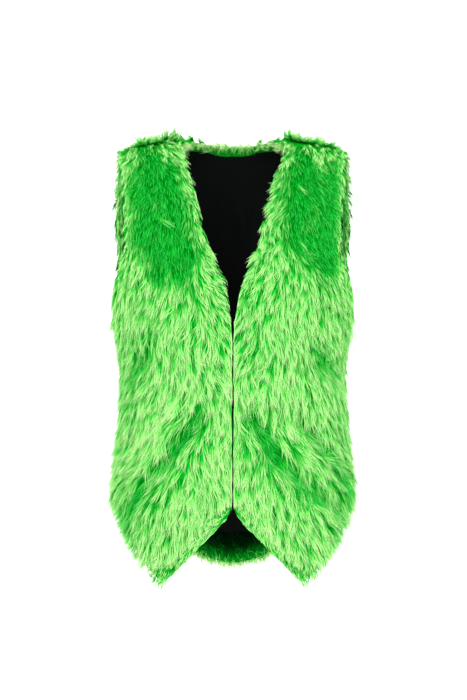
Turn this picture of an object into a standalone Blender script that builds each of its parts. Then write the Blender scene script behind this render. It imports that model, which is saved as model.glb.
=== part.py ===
"""Sleeveless faux fur vest, filled out as if worn, with nobody in it.

Metres, +Z up. The front faces -Y, and left and right are as seen from the front. The origin is midway
between the shoulders, at the height where the shoulder seams rest on the wearer.
The pieces are the ones a maker cuts: two fur fronts, a fur back, three lining panels and the fur facing
inside the back hem. Every piece is worked out from one form, the inner face of the fur cloth.
"""

import bmesh
import bpy
import numpy as np

# Thicknesses and gaps
BACKING = 0.0018  # knitted backing of the fur cloth
PILE = 0.0100  # height of the fur lying on the backing
TURNED_EDGE = 0.0022  # fur left standing on an edge that is turned and sewn
EDGE_ROLL = 0.016  # width over which the fur rises from a turned edge to its full height
LINING = 0.0012
LINING_GAP = 0.0008  # between the lining and the backing
LINING_INSET = 0.0040  # the lining stops this far inside a free edge
NECK_INSET = 0.0100  # and this far below the back of the neck, where fur shows inside
NECK_EASE = 0.0009  # the lining's edge stands this much further in there
FACING = 0.0060  # fur facing inside the back hem, backing and flattened fur together
SEAM_GAP = 0.0004  # between two pieces along a seam
SHAG = 0.0012  # rise and fall of the tufted outer surface
TUFT_WIDTH, TUFT_LENGTH = 0.043, 0.058

# Cut of the vest, in metres from the shoulder ridge down and from the centre line out
NECK_HALF = 0.080  # neck point of the shoulder seam
SHOULDER_HALF = 0.163  # arm end of the shoulder seam
FRONT_ARMHOLE_IN = 0.014  # how far the armhole of the front is cut in past that end
BACK_ARMHOLE_OUT = 0.005  # how far the back stands out past it
BACK_NECK_DOWN = 0.096  # back neckline at the centre, measured down the cloth
BACK_NECK_RISE = 0.058  # how far the back of the neck stands above the plain form
NECK_RISE_HALF = 0.088  # half the width over which it does
NECK_RISE_FADE = 0.280  # distance down the cloth where that rise has gone
SHOULDER_SLOPE = 0.20
SLOPE_FADE = 0.150
UNDERARM = -0.205  # height of the armhole's lowest point
ARMHOLE_SCOOP = 0.075  # height of the round bottom of the armhole
SIDE_HEM = -0.514
BACK_HEM = -0.6175
NECK_ROUNDNESS = 0.75  # power of the sine that shapes the back of the neck, lower is squarer
HEM_ROUNDNESS = 1.6  # power of the cosine that shapes the back hem

# One row for each ring of the form: distance down the cloth from the shoulder ridge, height, half width,
# depth in front of and behind the shoulder ridge, and how square the ring is (2 is an ellipse).
RING_COLUMNS = ("down", "height", "half_width", "front", "back", "squareness")
RINGS = (
    (0.000, 0.000, 0.192, 0.000, 0.000, 2.60),
    (0.023, -0.005, 0.192, 0.022, 0.022, 2.60),
    (0.049, -0.021, 0.191, 0.042, 0.044, 2.60),
    (0.090, -0.053, 0.189, 0.067, 0.070, 2.55),
    (0.145, -0.103, 0.184, 0.091, 0.092, 2.45),
    (0.198, -0.154, 0.175, 0.108, 0.102, 2.35),
    (0.259, -0.214, 0.167, 0.119, 0.103, 2.25),
    (0.319, -0.275, 0.157, 0.116, 0.095, 2.20),
    (0.375, -0.330, 0.150, 0.107, 0.088, 2.20),
    (0.450, -0.405, 0.153, 0.105, 0.094, 2.20),
    (0.545, -0.500, 0.163, 0.112, 0.108, 2.20),
    (0.675, -0.630, 0.165, 0.118, 0.118, 2.20),
)

# Front edge of a front panel, from the neck point down the V and the opening: depth below the ridge and
# distance out. The last two rows are the straight opening, where the two fronts are 3 mm apart.
FRONT_EDGE = (
    (0.000, 0.0800),
    (0.021, 0.0750),
    (0.071, 0.0588),
    (0.117, 0.0468),
    (0.185, 0.0244),
    (0.230, 0.0105),
    (0.265, 0.0035),
    (0.287, 0.0015),
    (0.518, 0.0015),
)

# Hem of a front panel, from the rounded corner at the opening to the point and on up to the side: distance
# out and height
HEM_TO_POINT = ((0.0015, -0.518), (0.007, -0.530), (0.017, -0.541), (0.089, -0.616), (0.097, -0.6225))
HEM_TO_SIDE = ((0.097, -0.6225), (0.104, -0.618), (0.128, -0.590), (0.150, -0.549), (0.164, -0.514))

# Folds that drag from the waist to the hips: the side they are on, their two ends as distance to the
# right and height, half width, and depth, which is negative for a ridge
FOLD_COLUMNS = ("face", "x0", "z0", "x1", "z1", "half_width", "depth")
FOLDS = (
    ("front", -0.030, -0.378, -0.150, -0.538, 0.011, 0.0065),
    ("front", -0.052, -0.352, -0.158, -0.496, 0.015, -0.0035),
    ("front", -0.112, -0.292, -0.150, -0.352, 0.010, 0.0035),
    ("front", 0.014, -0.374, 0.066, -0.470, 0.011, 0.0045),
    ("front", 0.040, -0.430, 0.152, -0.536, 0.012, 0.0060),
    ("front", 0.082, -0.392, 0.160, -0.500, 0.010, 0.0045),
    ("front", 0.052, -0.380, 0.158, -0.520, 0.013, -0.0030),
    ("front", 0.100, -0.286, 0.150, -0.350, 0.011, 0.0030),
    ("back", -0.020, -0.330, -0.140, -0.470, 0.013, 0.0055),
    ("back", -0.060, -0.300, -0.152, -0.400, 0.012, 0.0040),
    ("back", 0.030, -0.345, 0.148, -0.505, 0.014, 0.0060),
    ("back", 0.074, -0.310, 0.154, -0.392, 0.010, 0.0035),
    ("back", 0.000, -0.120, 0.060, -0.200, 0.016, 0.0030),
)

SIDE_FADE = 0.35  # sine of the angle from the side seam within which the folds die away

# Rough size of the panels, which the spacing of the grid lines starts from
FRONT_WIDTH, FRONT_LENGTH = 0.20, 0.60
BACK_WIDTH, BACK_LENGTH = 0.45, 0.58

# Cells of the outer grids. The inner face has half as many each way.
FRONT_TO_POINT, FRONT_TO_SIDE = 12, 12
FRONT_NECK, FRONT_OPENING = 18, 20
ARMHOLE_CELLS, SIDE_CELLS = 16, 22
BACK_SHOULDER, BACK_NECK = 10, 24
FREE_EDGE_LINES = (0.0040, 0.0100)  # grid lines this far in from a turned edge, where the fur rolls over
NECK_LINES = (0.0050, 0.0140)  # the same at the back of the neck
INSET_LIMIT = 0.8  # share of a cell that a border may be drawn in
HEM_LINES = (0.0040, 0.0100, 0.0200, 0.0300, 0.0400, 0.0500)  # the last is the top of the hem facing
DENSE = 240  # points on a boundary before it is shared out
ON_SEAM = 1e-9


def rounded(columns, rows, column, at):
    """A smooth curve through one column of a table, read at `at` along the table's first column.

    Each stretch is a cubic whose end slopes are the mean of its neighbours', and none where they turn.
    """
    table = np.array(rows, float)
    x, y = table[:, 0], table[:, columns.index(column)]
    slope = np.diff(y) / np.diff(x)
    before, after = slope[:-1], slope[1:]
    turning = before * after <= 0
    middle = np.where(turning, 0, 2 * before * after / np.where(turning, 1, before + after))
    ends = np.concatenate([[slope[0]], middle, [slope[-1]]])
    i = np.clip(np.searchsorted(x, at) - 1, 0, len(x) - 2)
    width = x[i + 1] - x[i]
    s = (at - x[i]) / width
    return (
        y[i] * (1 + 2 * s) * (1 - s) ** 2
        + y[i + 1] * s**2 * (3 - 2 * s)
        + width * (ends[i] * s * (1 - s) ** 2 - ends[i + 1] * s**2 * (1 - s))
    )


def ring(column, down):
    return rounded(RING_COLUMNS, RINGS, column, down)


def down_at(height):
    """Distance down the cloth at a height of the plain form."""
    down = np.linspace(0, RINGS[-1][0], 800)
    return np.interp(-np.asarray(height, float), -ring("height", down), down)


def turn_at(distance_out, down):
    """Angle round the ring, from the side, where the form is this far out from the centre line."""
    share = np.clip(distance_out / ring("half_width", down), 0, 1)
    return np.arccos(share ** (ring("squareness", down) / 2))


def power(value, exponent):
    return np.sign(value) * np.abs(value) ** exponent


def fold_depth(face, x, z):
    """Depth of all folds at a place of one face: a round trough along a line, fading at both ends."""
    total = np.zeros(np.shape(x))
    for row in FOLDS:
        fold = dict(zip(FOLD_COLUMNS, row, strict=True))
        if fold["face"] != face:
            continue
        run = np.array([fold["x1"] - fold["x0"], fold["z1"] - fold["z0"]])
        length = np.hypot(*run)
        along = ((x - fold["x0"]) * run[0] + (z - fold["z0"]) * run[1]) / length**2
        off = ((x - fold["x0"]) * run[1] - (z - fold["z0"]) * run[0]) / length
        ends = np.clip(along, 0, 1) * np.clip(1 - along, 0, 1) * 4
        total += fold["depth"] * np.sqrt(ends) * np.exp(-((off / fold["half_width"]) ** 2))
    return total


def form(face, turn, down):
    """Points of the form. `turn` goes from 0 at the right side to pi at the left, `down` along the cloth."""
    exponent = 2 / ring("squareness", down)
    x = ring("half_width", down) * power(np.cos(turn), exponent)
    z = ring("height", down)
    fold = fold_depth(face, x, z) * np.clip(np.sin(turn) / SIDE_FADE, 0, 1)
    depth = (ring(face, down) - fold) * power(np.sin(turn), exponent)
    x = x * (1 - fold / ring("half_width", down))
    z = z - SHOULDER_SLOPE * (np.abs(x) - NECK_HALF) * np.clip(1 - down / SLOPE_FADE, 0, 1) ** 2
    if face == "back":
        near_neck = np.sqrt(np.clip(1 - (x / NECK_RISE_HALF) ** 2, 0, 1))
        rising = np.clip(down / BACK_NECK_DOWN, 0, 1) * np.clip(1 - down / NECK_RISE_FADE, 0, 1)
        z = z + BACK_NECK_RISE * near_neck * rising / (1 - BACK_NECK_DOWN / NECK_RISE_FADE)
    y = depth if face == "back" else -depth
    return np.stack([x, y, z], axis=-1)


def outward(face, turn, down):
    """Unit normals of the form, pointing away from the wearer."""
    step = 0.002  # radians, and metres
    along_turn = form(face, turn + step, down) - form(face, turn - step, down)
    lower = form(face, turn, down + step)
    upper = form(face, turn, np.maximum(down - step, 0))
    normal = np.cross(along_turn, lower - upper)
    normal *= -1 if face == "back" else 1
    normal[down < ON_SEAM, 1] = 0  # on the ridge both faces point straight up from the seam
    normal[np.sin(turn) < ON_SEAM, 1] = 0  # and at the sides straight out
    return normal / np.linalg.norm(normal, axis=-1, keepdims=True)


def spaced(cells, length, first=(), last=()):
    """Positions 0 to 1 of cells + 1 grid lines: at the given distances from each end, even between."""
    start = np.array((0, *first)) / length
    end = 1 - np.array((0, *last))[::-1] / length
    middle = np.linspace(start[-1], end[0], cells + 1 - len(first) - len(last))
    return np.concatenate([start[:-1], middle, end[1:]])


def boundary(face, lines, *stretches):
    """Grid points along one side of a panel. Each stretch is (turn and down pairs, its number of cells)."""
    found, start = [], 0
    for pairs, cells in stretches:
        places = form(face, pairs[:, 0], pairs[:, 1])
        steps = np.linalg.norm(np.diff(places, axis=0), axis=1)
        length = np.concatenate([[0], np.cumsum(steps)])
        share = lines[start : start + cells + 1]
        at = (share - share[0]) / (share[-1] - share[0]) * length[-1]
        points = np.stack([np.interp(at, length, pairs[:, k]) for k in (0, 1)], axis=1)
        found.append(points if start == 0 else points[1:])
        start += cells
    return np.concatenate(found)


def pairs_of(turn, down):
    return np.stack(np.broadcast_arrays(turn, down), axis=1).astype(float)


def filled(across, along, top, bottom, left, right):
    """The grid inside four boundaries, as (turn, down) pairs: each pair of opposite sides is blended, the
    two blends are added, and the blend of the four corners is taken away."""
    u, v = across[:, None, None], along[None, :, None]
    sides = (1 - u) * left[None] + u * right[None]
    ends = (1 - v) * top[:, None] + v * bottom[:, None]
    corners = (1 - u) * ((1 - v) * top[0] + v * bottom[0]) + u * ((1 - v) * top[-1] + v * bottom[-1])
    return sides + ends - corners


def armhole(face):
    """Armhole edge from the shoulder down to the underarm: a slight hollow, then a quarter ellipse."""
    low = down_at(UNDERARM)
    start = down_at(UNDERARM + ARMHOLE_SCOOP)
    upper = np.linspace(0, start, DENSE)
    bulge = {"front": -FRONT_ARMHOLE_IN, "back": BACK_ARMHOLE_OUT}[face]
    turn = turn_at(SHOULDER_HALF + bulge * np.sin(np.pi * upper / start / 2), upper)
    scoop = np.linspace(0, np.pi / 2, DENSE)[1:]
    return pairs_of(
        np.concatenate([turn, turn[-1] * np.cos(scoop)]),
        np.concatenate([upper, start + (low - start) * np.sin(scoop)]),
    )


def side_edge(face, along):
    """Armhole and side seam of one panel, on its right side."""
    seam = pairs_of(0.0, np.linspace(down_at(UNDERARM), down_at(SIDE_HEM), DENSE))
    return boundary(face, along, (armhole(face), ARMHOLE_CELLS), (seam, SIDE_CELLS))


def shoulder_seam():
    """Shoulder seam on the right side, from the neck point to the arm."""
    return pairs_of(turn_at(np.linspace(NECK_HALF, SHOULDER_HALF, DENSE), 0.0), 0.0)


def hem_pairs(rows):
    """(turn, down) pairs along a smooth hem through (distance out, height) rows."""
    out = np.linspace(rows[0][0], rows[-1][0], 2 * DENSE)
    down = down_at(rounded(("out", "height"), rows, "height", out))
    return pairs_of(turn_at(out, down), down)


def front_grid():
    """(turn, down) pairs of the right front, from the opening to the side and from the shoulder down."""
    across = spaced(FRONT_TO_POINT + FRONT_TO_SIDE, FRONT_WIDTH, FREE_EDGE_LINES, FREE_EDGE_LINES)
    along = spaced(FRONT_NECK + FRONT_OPENING, FRONT_LENGTH, (), FREE_EDGE_LINES)
    below = np.linspace(0, FRONT_EDGE[-1][0], 2 * DENSE)
    edge_down = down_at(-below)
    edge_out = rounded(("below", "out"), FRONT_EDGE, "out", below)
    edge = pairs_of(turn_at(edge_out, edge_down), edge_down)
    neck = below < FRONT_EDGE[-2][0]
    left = boundary("front", along, (edge[neck], FRONT_NECK), (edge[~neck], FRONT_OPENING))
    right = side_edge("front", along)
    top = boundary("front", across, (shoulder_seam(), len(across) - 1))
    hem = (hem_pairs(HEM_TO_POINT), FRONT_TO_POINT), (hem_pairs(HEM_TO_SIDE), FRONT_TO_SIDE)
    bottom = boundary("front", across, *hem)
    return closed(across, along, top, bottom, left, right)


def back_grid():
    """(turn, down) pairs of the back, from its right side to its left and from the shoulders down."""
    cells = 2 * BACK_SHOULDER + BACK_NECK
    across = spaced(cells, BACK_WIDTH, FREE_EDGE_LINES, FREE_EDGE_LINES)
    along = spaced(ARMHOLE_CELLS + SIDE_CELLS, BACK_LENGTH, NECK_LINES, HEM_LINES)
    seam = shoulder_seam()[::-1]
    neck_turn = np.linspace(seam[-1, 0], np.pi - seam[-1, 0], DENSE)
    share = np.linspace(0, 1, DENSE)
    neck = pairs_of(neck_turn, BACK_NECK_DOWN * np.sin(np.pi * share) ** NECK_ROUNDNESS)
    mirrored = np.array([np.pi, 0]) + seam[::-1] * (-1, 1)
    top = boundary(
        "back", across, (seam, BACK_SHOULDER), (neck, BACK_NECK), (mirrored, BACK_SHOULDER)
    )
    right = side_edge("back", along)
    left = np.array([np.pi, 0]) + right * (-1, 1)
    hem_turn = np.linspace(0, np.pi, 2 * DENSE)
    hem_height = BACK_HEM + (SIDE_HEM - BACK_HEM) * np.abs(np.cos(hem_turn)) ** HEM_ROUNDNESS
    bottom = boundary("back", across, (pairs_of(hem_turn, down_at(hem_height)), cells))
    return closed(across, along, top, bottom, right, left)


def closed(across, along, top, bottom, first, last):
    """The filled grid, with each corner taken from the panel's two long edges."""
    top[0], top[-1] = first[0], last[0]
    bottom[0], bottom[-1] = first[-1], last[-1]
    return filled(across, along, top, bottom, first, last)


def edge_distance(points, edges):
    """Distance of each grid point from the nearest free edge."""
    flat = points.reshape(-1, 3)
    nearest = np.linalg.norm(flat[:, None] - edges[None], axis=2).min(axis=1)
    return nearest.reshape(points.shape[:2])


def fur_height(points, edges):
    """Fur over the backing: low on a turned edge, full away from it, with a tufted rise and fall."""
    share = np.clip(edge_distance(points, edges) / EDGE_ROLL, 0, 1)
    rise = np.sqrt(1 - (1 - share) ** 2)
    across = 2 * np.pi * points[..., 0] / TUFT_WIDTH
    down = 2 * np.pi * points[..., 2] / TUFT_LENGTH
    tufts = np.sin(across + 2 * np.sin(down / 3)) * np.sin(down + np.sin(across / 2))
    return TURNED_EDGE + (PILE - TURNED_EDGE + SHAG * tufts) * rise


def finish_of(name, colour, roughness):
    material = bpy.data.materials.new(name)
    material.use_nodes = True
    shader = material.node_tree.nodes["Principled BSDF"]
    shader.inputs["Base Color"].default_value = (*colour, 1)
    shader.inputs["Roughness"].default_value = roughness
    shader.inputs["Metallic"].default_value = 0
    return material


def wall(name, face_grid, back_grid_points, material):
    """One closed cloth wall between two grids of points, the first with once or twice the cells."""
    step = (face_grid.shape[0] - 1) // (back_grid_points.shape[0] - 1)
    shell = bmesh.new()
    layers = [
        [[shell.verts.new(point) for point in row] for row in grid] for grid in (face_grid, back_grid_points)
    ]
    for layer in layers:
        for i in range(len(layer) - 1):
            for j in range(len(layer[0]) - 1):
                a, b, c, d = layer[i][j], layer[i + 1][j], layer[i + 1][j + 1], layer[i][j + 1]
                shell.faces.new((a, b, c))
                shell.faces.new((a, c, d))
    for edge, size in (
        (lambda grid, k: grid[k][0], 0),
        (lambda grid, k: grid[k][-1], 0),
        (lambda grid, k: grid[0][k], 1),
        (lambda grid, k: grid[-1][k], 1),
    ):
        for k in range(back_grid_points.shape[size] - 1):
            far_side = [edge(layers[0], step * (k + 1) - n) for n in range(step + 1)]
            shell.faces.new((edge(layers[1], k), edge(layers[1], k + 1), *far_side))
    bmesh.ops.recalc_face_normals(shell, faces=shell.faces)
    mesh = bpy.data.meshes.new(name)
    shell.to_mesh(mesh)
    shell.free()
    mesh.shade_smooth()
    mesh.set_sharp_from_angle(angle=np.radians(50))
    mesh.materials.append(material)
    piece = bpy.data.objects.new(name, mesh)
    bpy.context.scene.collection.objects.link(piece)
    return piece


def inset(grid, normal, lines, distance):
    """Points and normals with border lines drawn in along the cells.

    `lines` has (border, next line, share of the distance along the border) for each border.
    """
    grid, normal = grid.copy(), normal.copy()
    for pick, near, fading in lines:
        gap = grid[near] - grid[pick]
        share = distance / np.linalg.norm(gap, axis=-1, keepdims=True) * np.reshape(fading, (-1, 1))
        share = np.minimum(share, INSET_LIMIT)
        grid[pick] += gap * share
        normal[pick] += (normal[near] - normal[pick]) * share
    return grid, normal


def panel(face, pairs, mirror, free_edges):
    """Outer fur grid and inner backing grid of one panel, and its outward normals on the inner grid."""
    turn, down = pairs[..., 0], pairs[..., 1]
    if mirror:
        turn = np.pi - turn
    base, normal = form(face, turn, down), outward(face, turn, down)
    base[..., 1] += SEAM_GAP / 2 * (1 if face == "back" else -1)
    edges = np.concatenate([base[pick].reshape(-1, 3) for pick in free_edges])
    height = BACKING + fur_height(base, edges)
    return base + normal * height[..., None], base[::2, ::2], normal[::2, ::2]


WHOLE = slice(None)
ARMHOLE_ROWS = slice(0, ARMHOLE_CELLS + 1)
NECK_COLUMNS = slice(BACK_SHOULDER, BACK_SHOULDER + BACK_NECK + 1)
INNER_ARMHOLE = slice(0, ARMHOLE_CELLS // 2 + 1)
INNER_NECK = slice(BACK_SHOULDER // 2, (BACK_SHOULDER + BACK_NECK) // 2 + 1)
TO_UNDERARM = 1 - np.linspace(0, 1, ARMHOLE_CELLS // 2 + 1) ** 3
ROUND_NECK = np.sqrt(np.sin(np.linspace(0, np.pi, BACK_NECK // 2 + 1)).clip(0))


def fronts(fur, satin):
    """The two fur fronts and their linings."""
    grid = front_grid()
    free = ((0,), (-1, ARMHOLE_ROWS), (WHOLE, -1))
    drawn_in = (
        ((0,), (1,), 1),
        ((-1, INNER_ARMHOLE), (-2, INNER_ARMHOLE), TO_UNDERARM),
        ((WHOLE, -1), (WHOLE, -2), 1),
    )
    for name, mirror in (("right", False), ("left", True)):
        outer, inner, normal = panel("front", grid, mirror, free)
        wall(f"front_{name}", outer, inner, fur)
        cut, facing_out = inset(inner, normal, drawn_in, LINING_INSET)
        near = cut - facing_out * LINING_GAP
        wall(f"lining_{name}", near, near - facing_out * LINING, satin)


def back(fur, satin):
    """The fur back, its lining, and the strip of fur that faces the inside of its hem."""
    free = ((0, ARMHOLE_ROWS), (-1, ARMHOLE_ROWS), (WHOLE, -1), (NECK_COLUMNS, 0))
    outer, inner, normal = panel("back", back_grid(), False, free)
    wall("back", outer, inner, fur)
    split = inner.shape[1] - 1 - len(HEM_LINES) // 2
    sides = [((k, INNER_ARMHOLE), (near, INNER_ARMHOLE), TO_UNDERARM) for k, near in ((0, 1), (-1, -2))]
    cut, facing_out = inset(inner, normal, sides, LINING_INSET)
    cut, facing_out = inset(cut, facing_out, (((INNER_NECK, 0), (INNER_NECK, 1), ROUND_NECK),), NECK_INSET)
    near = cut - facing_out * LINING_GAP
    near[INNER_NECK, 0] -= facing_out[INNER_NECK, 0] * NECK_EASE * ROUND_NECK[:, None]
    strip, strip_out = near[:, split:], facing_out[:, split:]
    wall("hem_facing_back", strip, strip - strip_out * FACING, fur)
    meets_strip = (((WHOLE, -1), (WHOLE, -2), 1),)
    lining, lining_out = inset(near[:, : split + 1], facing_out[:, : split + 1], meets_strip, SEAM_GAP)
    wall("lining_back", lining, lining - lining_out * LINING, satin)


def main():
    for old in list(bpy.data.objects):
        bpy.data.objects.remove(old)
    fur = finish_of("fur", (0.15, 0.80, 0.12), 0.7)
    satin = finish_of("lining", (0.006, 0.007, 0.007), 0.4)
    fronts(fur, satin)
    back(fur, satin)


main()
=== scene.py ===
"""Looks of a sleeveless faux fur vest: long green pile on fur cloth, over a black satin lining.

Metres, +Z up. The front faces -Y, and left and right are as seen from the front. Every surface is worked
out from one form, the inner face of the fur cloth, at a place given by two numbers: `turn`, the angle
round the body from 0 at the right side to pi at the left, and `down`, the distance down the cloth from
the shoulder ridge.
"""

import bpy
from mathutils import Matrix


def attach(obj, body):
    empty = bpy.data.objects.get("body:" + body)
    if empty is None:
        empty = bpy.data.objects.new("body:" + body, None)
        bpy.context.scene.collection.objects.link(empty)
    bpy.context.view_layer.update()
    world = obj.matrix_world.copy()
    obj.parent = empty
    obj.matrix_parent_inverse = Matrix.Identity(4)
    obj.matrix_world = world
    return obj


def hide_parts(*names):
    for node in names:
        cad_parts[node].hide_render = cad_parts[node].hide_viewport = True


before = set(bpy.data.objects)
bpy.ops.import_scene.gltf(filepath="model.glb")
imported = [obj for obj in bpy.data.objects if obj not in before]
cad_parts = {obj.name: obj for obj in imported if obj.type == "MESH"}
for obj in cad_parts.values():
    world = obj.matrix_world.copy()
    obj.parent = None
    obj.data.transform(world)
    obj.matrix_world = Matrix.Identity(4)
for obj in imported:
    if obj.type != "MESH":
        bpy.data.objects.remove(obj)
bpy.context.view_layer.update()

from types import SimpleNamespace

import bpy
import numpy as np
from bpy.props import FloatProperty, FloatVectorProperty, IntProperty, PointerProperty
from mathutils import Vector

bl_info = {
    "name": "Faux Fur Vest",
    "version": (1, 0, 0),
    "blender": (4, 5, 0),
    "location": "View3D > Sidebar > Vest",
    "description": "Builds the fur cloth, pile, lining and hem facing of a faux fur vest",
    "category": "Object",
}

# Cloth, as the maker cuts it
BACKING = 0.0018  # knitted backing of the fur cloth
TURNED_EDGE = 0.0022  # fur left standing on an edge that is turned and sewn
EDGE_ROLL = 0.016  # width over which the fur rises from a turned edge
LINING = 0.0012
LINING_GAP = 0.0008
LINING_INSET = 0.0040
NECK_INSET, NECK_END_INSET = 0.0064, 0.0270
NECK_END = 0.07  # share of the neck edge over which the lining's top comes down from the shoulder
NECK_EASE = 0.0009
ARM_TURNED_IN = 2.4  # how much further in the lining of the back starts at the armholes
FACING_BACKING = 0.0022
SEAM_GAP = 0.0004
TUFT_WIDTH, TUFT_LENGTH = 0.043, 0.058

# Cut of the vest, from the shoulder ridge down and from the centre line out
NECK_HALF = 0.080
SHOULDER_HALF = 0.163
FRONT_ARMHOLE_IN = 0.014
BACK_ARMHOLE_OUT = 0.005
BACK_NECK_DOWN = 0.096
BACK_NECK_RISE = 0.058
NECK_RISE_HALF = 0.088
NECK_RISE_FADE = 0.280
SHOULDER_SLOPE = 0.20
SLOPE_FADE = 0.150
UNDERARM = -0.205
ARMHOLE_SCOOP = 0.075
SIDE_HEM = -0.514
BACK_HEM = -0.6175
NECK_ROUNDNESS = 0.75
HEM_ROUNDNESS = 1.6
FACING_HEIGHT = 0.050

RING_COLUMNS = ("down", "height", "half_width", "front", "back", "squareness")
RINGS = (
    (0.000, 0.000, 0.192, 0.000, 0.000, 2.60),
    (0.023, -0.005, 0.192, 0.022, 0.022, 2.60),
    (0.049, -0.021, 0.191, 0.042, 0.044, 2.60),
    (0.090, -0.053, 0.189, 0.067, 0.070, 2.55),
    (0.145, -0.103, 0.184, 0.091, 0.092, 2.45),
    (0.198, -0.154, 0.175, 0.108, 0.102, 2.35),
    (0.259, -0.214, 0.167, 0.119, 0.103, 2.25),
    (0.319, -0.275, 0.157, 0.116, 0.095, 2.20),
    (0.375, -0.330, 0.150, 0.107, 0.088, 2.20),
    (0.450, -0.405, 0.153, 0.105, 0.094, 2.20),
    (0.545, -0.500, 0.163, 0.112, 0.108, 2.20),
    (0.675, -0.630, 0.165, 0.118, 0.118, 2.20),
)

# Front edge of a front panel: depth below the ridge and distance out
FRONT_EDGE = (
    (0.000, 0.0800),
    (0.021, 0.0750),
    (0.071, 0.0588),
    (0.117, 0.0468),
    (0.185, 0.0244),
    (0.230, 0.0105),
    (0.265, 0.0035),
    (0.287, 0.0015),
    (0.518, 0.0015),
)

# Hem of a front panel: distance out and height
HEM_TO_POINT = ((0.0015, -0.518), (0.007, -0.530), (0.017, -0.541), (0.089, -0.616), (0.097, -0.6225))
HEM_TO_SIDE = ((0.097, -0.6225), (0.104, -0.618), (0.128, -0.590), (0.150, -0.549), (0.164, -0.514))

# Folds that drag from the waist to the hips, by face: x and z of one end, x and z of the other, half width
# and depth. A negative depth is a ridge.
FOLDS = {
    "front": (
        (-0.030, -0.378, -0.150, -0.538, 0.011, 0.0065),
        (-0.052, -0.352, -0.158, -0.496, 0.015, -0.0035),
        (-0.112, -0.292, -0.150, -0.352, 0.010, 0.0035),
        (0.014, -0.374, 0.066, -0.470, 0.011, 0.0045),
        (0.040, -0.430, 0.152, -0.536, 0.012, 0.0060),
        (0.082, -0.392, 0.160, -0.500, 0.010, 0.0045),
        (0.052, -0.380, 0.158, -0.520, 0.013, -0.0030),
        (0.100, -0.286, 0.150, -0.350, 0.011, 0.0030),
    ),
    "back": (
        (-0.020, -0.330, -0.140, -0.470, 0.013, 0.0055),
        (-0.060, -0.300, -0.152, -0.400, 0.012, 0.0040),
        (0.030, -0.345, 0.148, -0.505, 0.014, 0.0060),
        (0.074, -0.310, 0.154, -0.392, 0.010, 0.0035),
        (0.000, -0.120, 0.060, -0.200, 0.016, 0.0030),
    ),
}
SIDE_FADE = 0.35  # sine of the angle from the side seam at which a fold reaches its whole depth

# Creases of the lining, raised toward the wearer, in the same columns
LINING_CREASES = {
    "front": (
        (-0.060, -0.180, -0.110, -0.330, 0.008, 0.0016),
        (-0.030, -0.330, -0.090, -0.480, 0.008, 0.0016),
        (0.070, -0.190, 0.115, -0.320, 0.009, 0.0015),
        (0.035, -0.350, 0.080, -0.500, 0.007, 0.0016),
    ),
    "back": (
        (-0.030, -0.100, -0.052, -0.300, 0.006, 0.0016),
        (0.018, -0.075, 0.006, -0.210, 0.008, 0.0014),
        (0.048, -0.120, 0.030, -0.330, 0.007, 0.0018),
        (-0.062, -0.060, -0.020, -0.150, 0.009, 0.0012),
        (-0.100, -0.300, -0.030, -0.420, 0.009, 0.0020),
        (0.110, -0.280, 0.040, -0.430, 0.010, 0.0020),
        (-0.060, -0.400, -0.080, -0.550, 0.008, 0.0015),
        (0.050, -0.420, 0.065, -0.560, 0.007, 0.0015),
    ),
}

FRONT_BORDER_SPLIT = 18 / 38  # share of the front edge that is the V
ARMHOLE_SPLIT = 16 / 38  # share of a side edge that is the armhole
SHOULDER_SPLIT = 10 / 44  # share of the back's top that is one shoulder
POINT_SPLIT = 0.5  # share of a front hem on the near side of its point
DENSE = 240
ON_SEAM = 1e-9
EDGE_STEP = 6  # every sixth place of an edge is enough to measure distances from it
CHUNKS = 8  # parts in which distances are worked out, to save memory
SHARP_ANGLE = np.radians(50)

SEED = 11
FUR_UV = "OFBake"


def near(distance, width):
    """1 on an edge, falling away from it as a bell of this half width."""
    return np.exp(-((distance / width) ** 2))


def step_up(value):
    """0 below 0, 1 above 1, and a smooth S between."""
    s = np.clip(value, 0, 1)
    return s * s * (3 - 2 * s)


def toward(value, target, weight):
    """A value moved toward a target by a weight from 0 to 1."""
    return value + (target - value) * weight


def blend(first, second, share):
    """A mix of two values, with this share of the second."""
    return (1 - share) * first + share * second


def rounded(columns, rows, column, at):
    """A smooth curve through one column of a table: cubics whose end slopes are their neighbours' mean."""
    table = np.array(rows, float)
    x, y = table[:, 0], table[:, columns.index(column)]
    slope = np.diff(y) / np.diff(x)
    before, after = slope[:-1], slope[1:]
    turning = before * after <= 0
    middle = np.where(turning, 0, 2 * before * after / np.where(turning, 1, before + after))
    ends = np.concatenate([[slope[0]], middle, [slope[-1]]])
    i = np.clip(np.searchsorted(x, at) - 1, 0, len(x) - 2)
    width = x[i + 1] - x[i]
    s = (at - x[i]) / width
    return (
        y[i] * (1 + 2 * s) * (1 - s) ** 2
        + y[i + 1] * s**2 * (3 - 2 * s)
        + width * (ends[i] * s * (1 - s) ** 2 - ends[i + 1] * s**2 * (1 - s))
    )


def ring(column, down):
    """A column of the rings at distances down the cloth."""
    return rounded(RING_COLUMNS, RINGS, column, down)


def down_at(height):
    """Distance down the cloth at a height of the plain form."""
    down = np.linspace(0, RINGS[-1][0], 800)
    return np.interp(-np.asarray(height, float), -ring("height", down), down)


def turn_at(distance_out, down):
    """Angle round the ring where the form is this far out from the centre line."""
    share = np.clip(distance_out / ring("half_width", down), 0, 1)
    return np.arccos(share ** (ring("squareness", down) / 2))


def power(value, exponent):
    """A power that keeps its value's sign."""
    return np.sign(value) * np.abs(value) ** exponent


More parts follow.
